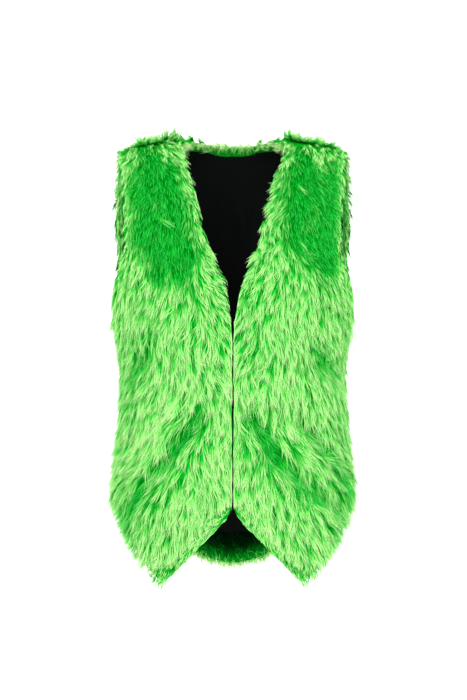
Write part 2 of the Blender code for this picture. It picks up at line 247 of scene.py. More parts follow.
def trough(row, x, z):
    """One fold at a place: (strength, direction along it). A bell across its line, a half circle along it."""
    x0, z0, x1, z1, half_width = row[:5]
    run_x, run_z = x1 - x0, z1 - z0
    length = np.hypot(run_x, run_z)
    share = ((x - x0) * run_x + (z - z0) * run_z) / length**2
    off = ((x - x0) * run_z - (z - z0) * run_x) / length
    ends = np.clip(share, 0, 1) * np.clip(1 - share, 0, 1) * 4
    return np.sqrt(ends) * near(off, half_width), np.arctan2(run_x, -run_z)


def fold_depth(rows, x, z):
    """Depth of several folds at a place, each its own depth times its strength there."""
    return sum((row[-1] * trough(row, x, z)[0] for row in rows), np.zeros(np.shape(x)))


def shoulder_drop(x, down):
    """How far the shoulder's slope lowers the cloth, fading out down the chest."""
    return SHOULDER_SLOPE * (np.abs(x) - NECK_HALF) * np.clip(1 - down / SLOPE_FADE, 0, 1) ** 2


def form(face, turn, down):
    """Points of the form: on each ring x and y are powers of the angle's cosine and sine.

    Over the ridge the rings repeat on the far side, and past the last ring they go straight down.
    """
    beyond = np.maximum(down - RINGS[-1][0], 0)
    over = np.where(down < 0, -1, 1)
    down = np.abs(down - beyond)
    exponent = 2 / ring("squareness", down)
    x = ring("half_width", down) * power(np.cos(turn), exponent)
    z = ring("height", down) - beyond
    fold = fold_depth(FOLDS[face], x, z) * np.clip(np.sin(turn) / SIDE_FADE, 0, 1)
    depth = (ring(face, down) - fold) * power(np.sin(turn), exponent) * over
    x = x * (1 - fold / ring("half_width", down))
    z = z - shoulder_drop(x, down)
    if face == "back":
        near_neck = np.sqrt(np.clip(1 - (x / NECK_RISE_HALF) ** 2, 0, 1))
        rising = np.clip(down / BACK_NECK_DOWN, 0, 1) * np.clip(1 - down / NECK_RISE_FADE, 0, 1)
        z = z + BACK_NECK_RISE * near_neck * rising / (1 - BACK_NECK_DOWN / NECK_RISE_FADE)
    y = depth if face == "back" else -depth
    return np.stack([x, y, z], axis=-1)


def unit(vectors):
    """Vectors divided by their lengths."""
    return vectors / np.maximum(np.linalg.norm(vectors, axis=-1, keepdims=True), ON_SEAM)


def slopes(face, turn, down):
    """Change of the form with turn and with down, by the difference of two near places."""
    step = 0.004  # radians, and metres
    by_turn = (form(face, turn + step, down) - form(face, turn - step, down)) / (2 * step)
    by_down = (form(face, turn, down + step) - form(face, turn, down - step)) / (2 * step)
    return by_turn, by_down


def outward(face, turn, down):
    """Unit normals of the form, pointing away from the wearer: the cross product of its two slopes."""
    by_turn, by_down = slopes(face, turn, down)
    normal = np.cross(by_turn, by_down) * (-1 if face == "back" else 1)
    normal[down < ON_SEAM, 1] = 0
    normal[np.sin(turn) < ON_SEAM, 1] = 0
    return unit(normal)


def pairs_of(turn, down):
    """(turn, down) rows."""
    return np.stack(np.broadcast_arrays(turn, down), axis=1).astype(float)


def mirrored(pairs):
    """The same places on the other side: turn is taken from pi."""
    return np.array([np.pi, 0]) + pairs * (-1, 1)


def armhole(face):
    """Armhole edge from the shoulder down to the underarm: a slight hollow, then a quarter ellipse."""
    low = down_at(UNDERARM)
    start = down_at(UNDERARM + ARMHOLE_SCOOP)
    upper = np.linspace(0, start, DENSE)
    bulge = {"front": -FRONT_ARMHOLE_IN, "back": BACK_ARMHOLE_OUT}[face]
    turn = turn_at(SHOULDER_HALF + bulge * np.sin(np.pi * upper / start / 2), upper)
    scoop = np.linspace(0, np.pi / 2, DENSE)[1:]
    return pairs_of(
        np.concatenate([turn, turn[-1] * np.cos(scoop)]),
        np.concatenate([upper, start + (low - start) * np.sin(scoop)]),
    )


def side_seam():
    """Side seam on the right side, from the underarm to the hem."""
    return pairs_of(0.0, np.linspace(down_at(UNDERARM), down_at(SIDE_HEM), DENSE))


def shoulder_seam():
    """Shoulder seam on the right side, from the neck point to the arm."""
    return pairs_of(turn_at(np.linspace(NECK_HALF, SHOULDER_HALF, DENSE), 0.0), 0.0)


def hem_pairs(rows):
    """(turn, down) pairs along a smooth hem through (distance out, height) rows."""
    out = np.linspace(rows[0][0], rows[-1][0], 2 * DENSE)
    down = down_at(rounded(("out", "height"), rows, "height", out))
    return pairs_of(turn_at(out, down), down)


def border(face, stretches):
    """One side of a panel as (share, turn, down) rows. Each stretch is (pairs, share where it ends), and
    the share grows evenly along the cloth within it."""
    rows, start = [], 0.0
    for pairs, end in stretches:
        steps = np.linalg.norm(np.diff(form(face, *pairs.T), axis=0), axis=1)
        length = np.concatenate([[0], np.cumsum(steps)]) / steps.sum()
        rows.append(np.column_stack([start + (end - start) * length, pairs]))
        start = end
    return np.concatenate(rows)


def panel_of(face, edges, free, **sides):
    """A panel: its edges by name, those that aren't sewn, and its four borders. Each side is given by its
    stretches, as (edge, which of that name, share where it ends)."""
    borders = {
        side: border(face, [(edges[name][k], end) for name, k, end in stretches])
        for side, stretches in sides.items()
    }
    return {"face": face, "borders": borders, "edges": edges, "free": free}


def front_panel(mirror):
    """A front, with the point of its hem halfway along its lower border. `mirror` makes the left one."""
    below = np.linspace(0, FRONT_EDGE[-1][0], 2 * DENSE)
    edge_down = down_at(-below)
    edge = pairs_of(turn_at(rounded(("below", "out"), FRONT_EDGE, "out", below), edge_down), edge_down)
    neck = below < FRONT_EDGE[-2][0]
    edges = {
        "ridge": shoulder_seam(),
        "v_edge": edge[neck],
        "opening": edge[~neck],
        "armhole": armhole("front"),
        "side": side_seam(),
        "inner_hem": hem_pairs(HEM_TO_POINT),
        "outer_hem": hem_pairs(HEM_TO_SIDE),
    }
    return panel_of(
        "front",
        {name: [mirrored(pairs) if mirror else pairs] for name, pairs in edges.items()},
        ("v_edge", "opening", "armhole", "inner_hem", "outer_hem"),
        top=[("ridge", 0, 1)],
        bottom=[("inner_hem", 0, POINT_SPLIT), ("outer_hem", 0, 1)],
        first=[("v_edge", 0, FRONT_BORDER_SPLIT), ("opening", 0, 1)],
        last=[("armhole", 0, ARMHOLE_SPLIT), ("side", 0, 1)],
    )


def back_panel():
    """The back, from its right side to its left."""
    seam = shoulder_seam()[::-1]
    neck_turn = np.linspace(seam[-1, 0], np.pi - seam[-1, 0], DENSE)
    neck_down = BACK_NECK_DOWN * np.sin(np.pi * np.linspace(0, 1, DENSE)) ** NECK_ROUNDNESS
    hem_turn = np.linspace(0, np.pi, 2 * DENSE)
    hem_height = BACK_HEM + (SIDE_HEM - BACK_HEM) * np.abs(np.cos(hem_turn)) ** HEM_ROUNDNESS
    right, side = armhole("back"), side_seam()
    return panel_of(
        "back",
        {
            "ridge": [seam, mirrored(seam[::-1])],
            "neck": [pairs_of(neck_turn, neck_down)],
            "armhole": [right, mirrored(right)],
            "side": [side, mirrored(side)],
            "hem": [pairs_of(hem_turn, down_at(hem_height))],
        },
        ("neck", "armhole", "hem"),
        top=[("ridge", 0, SHOULDER_SPLIT), ("neck", 0, 1 - SHOULDER_SPLIT), ("ridge", 1, 1)],
        bottom=[("hem", 0, 1)],
        first=[("armhole", 0, ARMHOLE_SPLIT), ("side", 0, 1)],
        last=[("armhole", 1, ARMHOLE_SPLIT), ("side", 1, 1)],
    )


PANELS = {"right": front_panel(False), "left": front_panel(True), "back": back_panel()}


def along(rows, share):
    """(turn, down) at shares along a border."""
    return np.stack([np.interp(share, rows[:, 0], rows[:, k]) for k in (1, 2)], axis=-1)


def panel_at(panel, u, v):
    """(turn, down) at u across and v along a panel, both 0 to 1: each pair of opposite borders is blended,
    the two blends are added, and the blend of the four corners is taken away."""
    top, bottom, first, last = (panel["borders"][side] for side in ("top", "bottom", "first", "last"))
    p, q = u[..., None], v[..., None]
    sides = blend(along(first, v), along(last, v), p)
    ends = blend(along(top, u), along(bottom, u), q)
    corners = blend(blend(first[0, 1:], last[0, 1:], p), blend(first[-1, 1:], last[-1, 1:], p), q)
    return sides + ends - corners


def shares(across, down):
    """Even shares across and along with this many cells, as two grids."""
    return np.meshgrid(np.linspace(0, 1, across + 1), np.linspace(0, 1, down + 1), indexing="ij")


def edge_points(panel, names):
    """Places along the named edges of a panel."""
    pairs = np.concatenate([pairs[::EDGE_STEP] for name in names for pairs in panel["edges"][name]])
    return form(panel["face"], *pairs.T)


def distance_from(points, edges):
    """Distance of each point from the nearest of the edges' places."""
    parts = np.array_split(points.reshape(-1, 3), CHUNKS)
    nearest = [np.linalg.norm(part[:, None] - edges[None], axis=2).min(axis=1) for part in parts]
    return np.concatenate(nearest).reshape(points.shape[:-1])


def cloth_at(face, pairs):
    """The face of the cloth next to the wearer at (turn, down) pairs, with its outward normals: the form,
    moved by half the seam gap away from the other face."""
    turn, down = pairs[..., 0], pairs[..., 1]
    away = np.array([0, SEAM_GAP / 2 * (1 if face == "back" else -1), 0])
    return form(face, turn, down) + away, outward(face, turn, down)


def put_mesh(name, points, quads, triangles, material, uv=None):
    """A mesh object from whole arrays. `uv` has one pair for each corner, quads first."""
    corners = np.concatenate([quads.ravel(), triangles.ravel()])
    sizes = np.concatenate([np.full(len(quads), 4), np.full(len(triangles), 3)])
    mesh = bpy.data.meshes.new(name)
    mesh.vertices.add(len(points))
    mesh.vertices.foreach_set("co", points.astype(np.float32).ravel())
    mesh.loops.add(len(corners))
    mesh.loops.foreach_set("vertex_index", corners.astype(np.int32))
    mesh.polygons.add(len(sizes))
    starts = np.concatenate([[0], np.cumsum(sizes)[:-1]])
    mesh.polygons.foreach_set("loop_start", starts.astype(np.int32))
    mesh.update(calc_edges=True)
    if uv is not None:
        mesh.uv_layers.new(name=FUR_UV).data.foreach_set("uv", uv.astype(np.float32).ravel())
    mesh.shade_smooth()
    mesh.materials.append(material)
    piece = bpy.data.objects.new(name, mesh)
    bpy.context.scene.collection.objects.link(piece)
    return piece


def wall(name, outer, inner, material, outer_first, uv=None):
    """A closed wall between two equal grids of points: both grids, and a band round their borders.

    `outer_first` says that the first grid's cells already turn outwards, going across and then along.
    """
    rows, columns = outer.shape[:2]
    index = np.arange(rows * columns).reshape(rows, columns)
    cells = np.stack([index[:-1, :-1], index[1:, :-1], index[1:, 1:], index[:-1, 1:]], axis=-1).reshape(-1, 4)
    loop = np.concatenate([index[:-1, 0], index[-1, :-1], index[:0:-1, -1], index[0, :0:-1]])
    far = rows * columns
    following = np.roll(loop, -1)
    band = np.stack([following, loop, loop + far, following + far], axis=-1)
    quads = np.concatenate([cells, cells[:, ::-1] + far, band])
    if not outer_first:
        quads = quads[:, ::-1]
    points = np.concatenate([outer.reshape(-1, 3), inner.reshape(-1, 3)])
    if uv is not None:
        place = np.stack([np.tile(part.ravel(), 2) for part in uv], axis=-1)
        uv = place[quads.ravel()]
    piece = put_mesh(name, points, quads, np.empty((0, 3), int), material, uv)
    piece.data.set_sharp_from_angle(angle=SHARP_ANGLE)
    return piece


def undercoat(points, edges, full):
    """Height of the dense short fur over the backing: low on a turned edge, rounding up to its full height,
    with the tufted rise and fall of the pile above it."""
    share = np.clip(distance_from(points, edges) / EDGE_ROLL, 0, 1)
    rise = np.sqrt(1 - (1 - share) ** 2)
    across = 2 * np.pi * points[..., 0] / TUFT_WIDTH
    down = 2 * np.pi * points[..., 2] / TUFT_LENGTH
    tufts = np.sin(across + 2 * np.sin(down / 3)) * np.sin(down + np.sin(across / 2))
    start = TURNED_EDGE / 2
    return start + (full - start + full / 6 * tufts) * rise


def spans(points, axis):
    """Length of each grid line along an axis, shaped to divide that grid."""
    return np.linalg.norm(np.diff(points, axis=axis), axis=-1).sum(axis=axis, keepdims=True)


def lining_shares(panel, u, v):
    """Shares across and along of a lining grid, drawn in from the free edges by the inset."""
    pairs = panel_at(panel, u, v)
    points = form(panel["face"], pairs[..., 0], pairs[..., 1])
    across, down = LINING_INSET / spans(points, 0), LINING_INSET / spans(points, 1)
    beside_arm = np.sqrt(np.clip(1 - (v / ARMHOLE_SPLIT) ** 3, 0, 1))
    if panel["face"] == "front":
        first, last = across, across * beside_arm
        top, bottom = 0, down
    else:
        first = last = across * beside_arm * ARM_TURNED_IN
        in_neck = np.clip((u - SHOULDER_SPLIT) / (1 - 2 * SHOULDER_SPLIT), 0, 1)
        inset = toward(NECK_END_INSET, NECK_INSET, np.sin(np.pi * in_neck))
        inset = inset * np.clip(in_neck / NECK_END, 0, 1) * np.clip((1 - in_neck) / NECK_END, 0, 1)
        top = down * inset / LINING_INSET
        bottom = FACING_HEIGHT / spans(points, 1)
    return first + (1 - first - last) * u, top + (1 - top - bottom) * v


def linear(colour):
    """A display colour as the linear values that a shader takes."""
    c = np.array(colour, float)
    return (*np.where(c <= 0.04045, c / 12.92, ((c + 0.055) / 1.055) ** 2.4), 1.0)


def make_material(name, roughness, specular, nodes, joins):
    """A material round one Principled shader.

    Each node is its kind with its socket values, with (position, display colour) stops if it is a colour
    ramp, or with the name of a UV map. Each join is (from, output, to, input).
    """
    material = bpy.data.materials.new(name)
    material.use_nodes = True
    tree = material.node_tree
    made = {"shader": tree.nodes["Principled BSDF"]}
    made["shader"].inputs["Roughness"].default_value = roughness
    made["shader"].inputs["Specular IOR Level"].default_value = specular
    for key, (kind, values) in nodes.items():
        node = made[key] = tree.nodes.new("ShaderNode" + kind)
        if kind == "UVMap":
            node.uv_map = values
        elif kind == "ValToRGB":
            elements = node.color_ramp.elements
            for k, (position, colour) in enumerate(values):
                element = elements[k] if k < 2 else elements.new(position)
                element.position, element.color = position, linear(colour)
        else:
            for socket, value in values.items():
                node.inputs[socket].default_value = value
    for source, output, target, socket in joins:
        tree.links.new(made[source].outputs[output], made[target].inputs[socket])
    return material


PILE_STOPS = {"root": 0.44, "middle": 0.68, "tip": 0.90}  # shares of a strand where its colours lie
DEEP_TONES, LIME_TONES = (0.0, 0.16), (0.28, 0.98)  # tones over which shade turns deep green, and deep lime


def pile_material():
    """Pile colour by the strand's tone, from ramps of painted shade, deep green and lime; each darkens to a
    painted-shade root and pales to a painted-sheen tip.
    """
    colours = bpy.context.scene.vest_colours
    nodes = {"place": ("UVMap", FUR_UV), "split": ("SeparateXYZ", {})}
    joins = [("place", "UV", "split", "Vector")]
    for dye in ("shade", "deep", "lime"):
        stops = [(stop, getattr(colours, f"{dye}_{part}")) for part, stop in PILE_STOPS.items()]
        nodes[dye] = ("ValToRGB", stops)
        joins.append(("split", "Y", dye, "Fac"))
    before = "shade"
    for dye, (low, high) in (("deep", DEEP_TONES), ("lime", LIME_TONES)):
        share, mixed = dye + "_share", dye + "_mixed"
        nodes[share] = ("MapRange", {"From Min": low, "From Max": high})
        nodes[mixed] = ("MixRGB", {})
        joins += [
            ("split", "X", share, "Value"),
            (share, "Result", mixed, "Fac"),
            (before, "Color", mixed, "Color1"),
            (dye, "Color", mixed, "Color2"),
        ]
        before = mixed
    joins.append((before, "Color", "shader", "Base Color"))
    return make_material("pile", 0.6, 0.0, nodes, joins)


def undercoat_material():
    """Dense short fur between the locks: two greens in fine noise, with a deep bump of the same noise."""
    colours = bpy.context.scene.vest_colours
    nodes = {
        "place": ("TexCoord", {}),
        "stretch": ("Mapping", {"Scale": (1, 1, 0.3)}),
        "noise": ("TexNoise", {"Scale": 700, "Detail": 4}),
        "colour": ("ValToRGB", ((0.35, colours.deep_root), (0.75, colours.deep_middle))),
        "bump": ("Bump", {"Strength": 0.8, "Distance": 0.001}),
    }
    joins = (
        ("place", "Object", "stretch", "Vector"),
        ("stretch", "Vector", "noise", "Vector"),
        ("noise", "Fac", "colour", "Fac"),
        ("noise", "Fac", "bump", "Height"),
        ("colour", "Color", "shader", "Base Color"),
        ("bump", "Normal", "shader", "Normal"),
    )
    return make_material("undercoat", 0.8, 0.05, nodes, joins)


def satin_material():
    """Black satin: slight streaks of the warp in colour and gloss, and a fine crumple in its bump."""
    satin = bpy.context.scene.vest_colours.satin
    nodes = {
        "place": ("TexCoord", {}),
        "stretch": ("Mapping", {"Scale": (1, 1, 0.12)}),
        "warp": ("TexNoise", {"Scale": 900, "Detail": 3}),
        "crumple": ("TexNoise", {"Scale": 26, "Detail": 3}),
        "colour": ("ValToRGB", ((0.3, satin), (0.8, tuple(1.5 * c for c in satin)))),
        "gloss": ("MapRange", {"To Min": 0.34, "To Max": 0.52}),
        "bump": ("Bump", {"Strength": 0.35, "Distance": 0.002}),
    }
    joins = (
        ("place", "Object", "stretch", "Vector"),
        ("stretch", "Vector", "warp", "Vector"),
        ("place", "Object", "crumple", "Vector"),
        ("warp", "Fac", "colour", "Fac"),
        ("warp", "Fac", "gloss", "Value"),
        ("crumple", "Fac", "bump", "Height"),
        ("colour", "Color", "shader", "Base Color"),
        ("gloss", "Result", "shader", "Roughness"),
        ("bump", "Normal", "shader", "Normal"),
    )
    return make_material("satin", 0.42, 0.02, nodes, joins)


BACK_COARSER = 1.24  # how much further apart the locks of the back are
RIDGE_ROWS = (0.0006, 0.0030, 0.0065)  # extra rows of locks beside the shoulder seam
ROW_PLACES = 300  # places at which the length of a row is measured
JITTER = 0.33  # share of a step by which roots are moved
SLOPE_ROUNDS = 4
PILE_SEED, TURNED_SEED, TURNED_STRANDS_SEED = 100, 80, 90  # added to the seed of the settings
FACING_SEED, FACING_LOCKS_SEED, FACING_STRANDS_SEED = 50, 60, 70

# Long pale wisps that lie across the patches, by face: x and z of the root, x and z of the tip
WISPS = {
    "front": (
        (-0.113, -0.104, -0.080, -0.136),
        (0.082, -0.058, 0.102, -0.090),
        (0.083, -0.132, 0.102, -0.170),
    ),
    "back": (
        (-0.094, -0.080, -0.112, -0.116),
        (0.104, -0.070, 0.122, -0.104),
        (0.080, -0.130, 0.094, -0.168),
    ),
}
WISP_LOCK = {"curl": 0.15, "tone": 0.56, "loose": 0.0, "lift": 0.02, "lie": 0.0016}


def grow_locks(panel, settings, seed):
    """Roots of the locks of one panel, in brick rows down the cloth, with how each lock is combed.

    Each row lies at one distance down the cloth. Roots along it are evenly far apart on the form, every
    other row is set half a step on, and each root is then moved at random by up to a third of a step.
    """
    rng = np.random.default_rng(seed)
    face, borders = panel["face"], panel["borders"]
    loop = (borders["top"], borders["last"], borders["bottom"][::-1], borders["first"][::-1])
    outline = np.concatenate([rows[:, 1:] for rows in loop])[::4]
    low, high = outline.min(axis=0), outline.max(axis=0)
    coarser = BACK_COARSER if face == "back" else 1
    step, row_step = settings.lock_across * coarser, settings.lock_down * coarser
    rows = np.concatenate([RIDGE_ROWS, np.arange(low[1] + row_step / 4, high[1], row_step)])
    turns = np.linspace(low[0], high[0], ROW_PLACES)
    on_rows = form(face, turns[None], rows[:, None])
    length = np.linalg.norm(np.diff(on_rows, axis=1), axis=2).cumsum(axis=1)
    found = []
    for k, down in enumerate(rows):
        at = np.arange((k % 2) * 0.5, length[k, -1] / step) * step
        at = at + rng.uniform(-JITTER, JITTER, len(at)) * step
        turn = np.interp(at, np.concatenate([[0], length[k]]), turns)
        found.append(np.column_stack([turn, down + rng.uniform(-JITTER, JITTER, len(at)) * row_step]))
    pairs = np.concatenate(found)
    pairs = pairs[inside(pairs, outline)]
    wisps, angle, length = wisps_on(face)
    which = inside(wisps, outline)
    locks = comb(panel, np.concatenate([pairs, wisps[which]]), rng)
    for name, value in (WISP_LOCK | {"angle": angle[which], "length": length[which]}).items():
        locks[name][len(pairs):] = value
    return locks


def wisps_on(face):
    """Root pairs, directions and lengths of the wisps of one face. The shoulder's slope depends on the
    distance down the cloth, so that distance is found in a few rounds."""
    x0, z0, x1, z1 = np.array(WISPS[face]).T
    down = down_at(z0)
    for _ in range(SLOPE_ROUNDS):
        down = down_at(z0 + shoulder_drop(x0, down))
    pairs = pairs_of(turn_at(np.abs(x0), down), down)
    pairs[x0 < 0] = mirrored(pairs[x0 < 0])
    return pairs, np.arctan2(x1 - x0, z0 - z1), np.hypot(x1 - x0, z1 - z0)


def inside(pairs, outline):
    """Which places lie inside a closed outline: those with an odd number of crossings to one side."""
    x, y = pairs[:, :1], pairs[:, 1:]
    x0, y0 = outline[:, 0][None], outline[:, 1][None]
    x1, y1 = np.roll(outline[:, 0], -1)[None], np.roll(outline[:, 1], -1)[None]
    spans_row = (y0 > y) != (y1 > y)
    crossing = x0 + (y - y0) * (x1 - x0) / np.where(y1 == y0, 1, y1 - y0)
    return (spans_row & (x < crossing)).sum(axis=1) % 2 == 1


# Patches below the shoulders, in front and behind, on the left (-1) and on the right (1), where the nap
# turns from the light: their deep green is painted shade. Each row is a depth below the neck points and the
# distances out between which the patch lies there.
PATCH_COLUMNS = ("down", "inner", "outer")
PATCHES = {
    -1: (
        (0.018, 0.084, 0.138),
        (0.054, 0.070, 0.140),
        (0.102, 0.056, 0.138),
        (0.150, 0.044, 0.130),
        (0.168, 0.052, 0.124),
        (0.184, 0.068, 0.108),
    ),
    1: (
        (0.018, 0.086, 0.146),
        (0.054, 0.076, 0.154),
        (0.102, 0.070, 0.152),
        (0.150, 0.076, 0.142),
        (0.166, 0.084, 0.134),
        (0.180, 0.094, 0.126),
    ),
}
PATCH_SOFT = 0.030  # width over which its painted shade fades out
PATCH_LEAN = {-1: -0.06, 1: 0.50}  # how far its nap leans toward +X, on the left and on the right
PATCH_BACK_LEAN = 0.15  # and away from the centre line, behind

# Painted shade: soft darker stretches along hollows and where the nap parts, in the columns of the folds.
# The last is how much darker.
SHADES = {
    "front": (
        (-0.036, -0.342, -0.050, -0.400, 0.0059, 0.38),
        (-0.040, -0.392, -0.116, -0.466, 0.0076, 0.42),
        (-0.116, -0.228, -0.118, -0.330, 0.0102, 0.26),
        (-0.134, -0.312, -0.135, -0.382, 0.0068, 0.26),
        (-0.116, -0.480, -0.150, -0.542, 0.0119, 0.36),
        (0.119, -0.284, 0.136, -0.338, 0.0102, 0.34),
        (0.024, -0.378, 0.070, -0.486, 0.0076, 0.41),
        (0.066, -0.465, 0.128, -0.524, 0.0085, 0.36),
        (0.146, -0.474, 0.164, -0.522, 0.0085, 0.38),
        (0.022, -0.282, 0.050, -0.316, 0.0068, 0.21),
        (0.094, -0.395, 0.156, -0.480, 0.0059, 0.26),
    ),
    "back": (
        (-0.050, -0.250, -0.060, -0.330, 0.0102, 0.26),
        (0.100, -0.230, 0.120, -0.310, 0.0102, 0.30),
        (-0.020, -0.400, -0.090, -0.470, 0.0076, 0.38),
        (0.040, -0.420, 0.120, -0.520, 0.0085, 0.38),
        (0.010, -0.300, 0.030, -0.370, 0.0076, 0.26),
    ),
}

SIDE_OUT = 0.165  # distance from the centre line at which a lock counts as at the side
SEEN = 0.6  # share of a lock's length at which it lies uncovered
DEEP_FOLD = 0.0065  # depth of the fold whose painted shade is darkest

# Beside an edge: which of a lock's values is blended, its value on the edge, and the half width of the
# bell. An angle is toward the nearer side. Tones paint light and shade: painted light on the ridge and the
# neck, painted shade beside the V and the back's armholes.
ARMHOLE_RULES = (("lift", 0.10, 0.010), ("loose", 0.15, 0.010), ("length", 0.020, 0.014))
RIDGE_RULES = (("loose", 0.05, 0.024), ("tone", 0.92, 0.012))
EDGE_RULES = {
    "front": {
        "armhole": (*ARMHOLE_RULES, ("angle", 0.34, 0.024), ("tone", 0.88, 0.012)),
        "ridge": RIDGE_RULES,
        "v_edge": (
            ("angle", -0.58, 0.026), ("length", 0.030, 0.026), ("loose", 0.25, 0.026), ("tone", 0.80, 0.014)
        ),
        "outer_hem": (("angle", 0.50, 0.014), ("loose", 0.2, 0.014)),
    },
    "back": {
        "armhole": (*ARMHOLE_RULES, ("angle", 0.38, 0.024), ("tone", 0.66, 0.012)),
        "ridge": RIDGE_RULES,
        "neck": (("length", 0.017, 0.018), ("loose", 0.1, 0.020), ("tone", 0.92, 0.012)),
        "hem": (("loose", 0.3, 0.012),),
    },
}

# Longest lock beside an edge: how far it may hang over, its growth with the distance, and the least length
REACH = {"v_edge": (0.0110, 2.0, 0), "outer_hem": (0.0045, 1.3, 0.004), "hem": (0.0055, 1.2, 0.004)}

# Fur combed along the slanted inner hem of a front
HEM_BAND, HEM_BAND_ANGLE = 0.0095, 0.78
BAND_LOCK = {"length": 0.022, "lift": 0.0, "loose": 1.0, "tone": 0.74}


def patch_strength(x, z):
    """1 inside the patches of painted shade, fading out over a soft border on all sides."""
    total = np.zeros(len(x))
    for side, rows in PATCHES.items():
        top, bottom = rows[0][0], rows[-1][0]
        below = np.clip(-z, top, bottom)
        inner, outer = (rounded(PATCH_COLUMNS, rows, edge, below) for edge in PATCH_COLUMNS[1:])
        across = np.minimum(side * x - inner, outer - side * x) / PATCH_SOFT + 0.5
        ends = np.minimum(-z - top, bottom + z) / PATCH_SOFT + 0.5
        total += step_up(np.minimum(across, ends))
    return total


def pull(locks, weight, **values):
    """Moves some values of the locks toward these, by a weight from 0 to 1."""
    for name, value in values.items():
        locks[name] = toward(locks[name], value, weight)


def plain_nap(at):
    """Locks away from edges, folds and patches: down and outward, lower toward the sides, and darker there
    with painted shade.
    """
    lean = (-0.12 if at.face == "front" else 0.0) + toward(0.35, 0.80, at.low) * (at.out / 0.160) ** 1.8
    wander = 0.10 * np.sin(41 * at.x + 17 * at.z) * np.sin(53 * at.z - 19 * at.x)
    # Painted shade: darker toward the sides, where the form turns from the light, and a little toward the
    # points of the hem
    side_shade = step_up((at.out - 0.105) / 0.045) * at.low
    return {
        "angle": at.side * lean + wander,
        "length": toward(0.034, 0.042, at.low),
        "lift": 0.04 + 0.13 * at.outermost**4 * at.low,
        "loose": np.full(len(at.x), 0.1),
        "tone": 0.88 - 0.19 * side_shade - 0.06 * step_up((-0.555 - at.z) / 0.03),
    }


def comb_patches(locks, at):
    """In the patches: shorter, looser, mottled locks with a lean of their own, their deep green painted
    shade.
    """
    x, z = at.x, at.z
    edge_wave = 0.010 * np.sin(60 * x) + 0.007 * np.sin(170 * x)
    patch = patch_strength(x + 0.005 * np.sin(90 * z), z + edge_wave)
    mottle = np.sin(88 * x + 3 * np.sin(37 * z)) * np.sin(58 * z + 2 * np.sin(49 * x))
    streaks = np.sin(150 * x + 60 * z) * np.sin(90 * z)
    pull(locks, patch, tone=0.19 + 0.10 * mottle + 0.09 * streaks, length=0.030, loose=1.0)
    lean = PATCH_BACK_LEAN * at.side
    if at.face == "front":
        lean = np.where(at.side > 0, PATCH_LEAN[1], PATCH_LEAN[-1])
    pull(locks, patch * 0.8, angle=lean)
    return patch


def comb_folds(locks, at):
    """Along the folds: longer locks that follow them. Painted shade from folds and shade stretches darkens
    what shows of a lock.
    """
    for row in FOLDS[at.face]:
        strength, heading = trough(row, at.x, at.z)
        weight = np.clip(strength * 1.5, 0, 1)
        pull(locks, weight * 0.9, angle=heading)
        pull(locks, weight * 0.8, length=0.050)
    seen_x = at.x + SEEN * locks["length"] * np.sin(locks["angle"])
    seen_z = at.z - SEEN * locks["length"] * np.cos(locks["angle"])
    # Painted shade in the hollows of the folds, and a little painted light on their ridges
    for *row, depth in FOLDS[at.face]:
        darker = depth / DEEP_FOLD * (0.60 if depth > 0 else 0.10)
        locks["tone"] = locks["tone"] - darker * trough(row, seen_x, seen_z)[0]
    locks["tone"] = locks["tone"] - fold_depth(SHADES[at.face], seen_x, seen_z)


def beside(locks, at, edge):
    """Blends the locks beside an edge toward that edge's rules, and keeps them within its reach."""
    for name, value, width in EDGE_RULES[at.face][edge]:
        if name == "angle":
            value = value * at.side
        if edge == "armhole" and name == "length":
            value = np.minimum(locks["length"], value)
        pull(locks, near(at.away[edge], width), **{name: value})
    if edge in REACH:
        over, growth, least = REACH[edge]
        locks["length"] = np.minimum(locks["length"], (at.away[edge] + over) * growth + least)


def comb_ridge(locks, at, rng):
    """On the shoulder ridge: standing locks that fan out, and some that fall over its far side. They are
    lower and shorter at the shoulder's corner."""
    count = len(at.x)
    ridge = near(at.away["ridge"], 0.014)
    fan = at.side * toward(rng.uniform(-1.0, 1.5, count), rng.uniform(0.7, 1.4, count), at.corner)
    over = (rng.random(count) < 0.5) & (at.away["ridge"] < 0.005)
    pull(locks, ridge, angle=fan, lift=rng.uniform(0.40, 0.96, count) * (1 - 0.65 * at.corner))
    locks["angle"] = np.where(over, np.pi + 0.5 * fan, locks["angle"])
    pull(locks, near(at.away["ridge"], 0.018), length=0.0225 - 0.010 * at.corner)
    locks["length"] = locks["length"] * toward(1, rng.uniform(0.60, 1.30, count), ridge)
    beside(locks, at, "ridge")


def comb_front(locks, at):
    """Beside the V, the opening, the combed band of the inner hem, the outer hem and the point."""
    beside(locks, at, "v_edge")
    opening = near(at.away["opening"], 0.008) * step_up((-0.27 - at.z) / 0.02)
    pull(locks, opening, angle=at.side * 0.03, lift=0.02)
    from_hem = at.away["inner_hem"]
    above_band = np.maximum((from_hem - HEM_BAND * 0.7) * 1.25 + 0.003, 0.010)
    shorter = np.minimum(locks["length"], above_band)
    locks["length"] = np.where(at.out < 0.093, shorter, locks["length"])
    band = (from_hem < HEM_BAND) & (at.out < 0.095)
    for name, value in (BAND_LOCK | {"angle": at.side * HEM_BAND_ANGLE}).items():
        locks[name] = np.where(band, value, locks[name])
    beside(locks, at, "outer_hem")
    point = step_up((-0.572 - at.z) / 0.020)
    pull(locks, point, length=np.minimum(locks["length"], 0.017), angle=at.side * 0.2)


def comb_back(locks, at, rng):
    """Beside the neck, where the locks stand up and lean to the middle, and beside the hem."""
    neck = near(at.away["neck"], 0.012)
    up = np.pi * at.side - at.side * 0.35 * (at.out / NECK_HALF)
    pull(locks, neck, angle=up, lift=rng.uniform(0.2, 0.7, len(neck)))
    beside(locks, at, "neck")
    beside(locks, at, "hem")


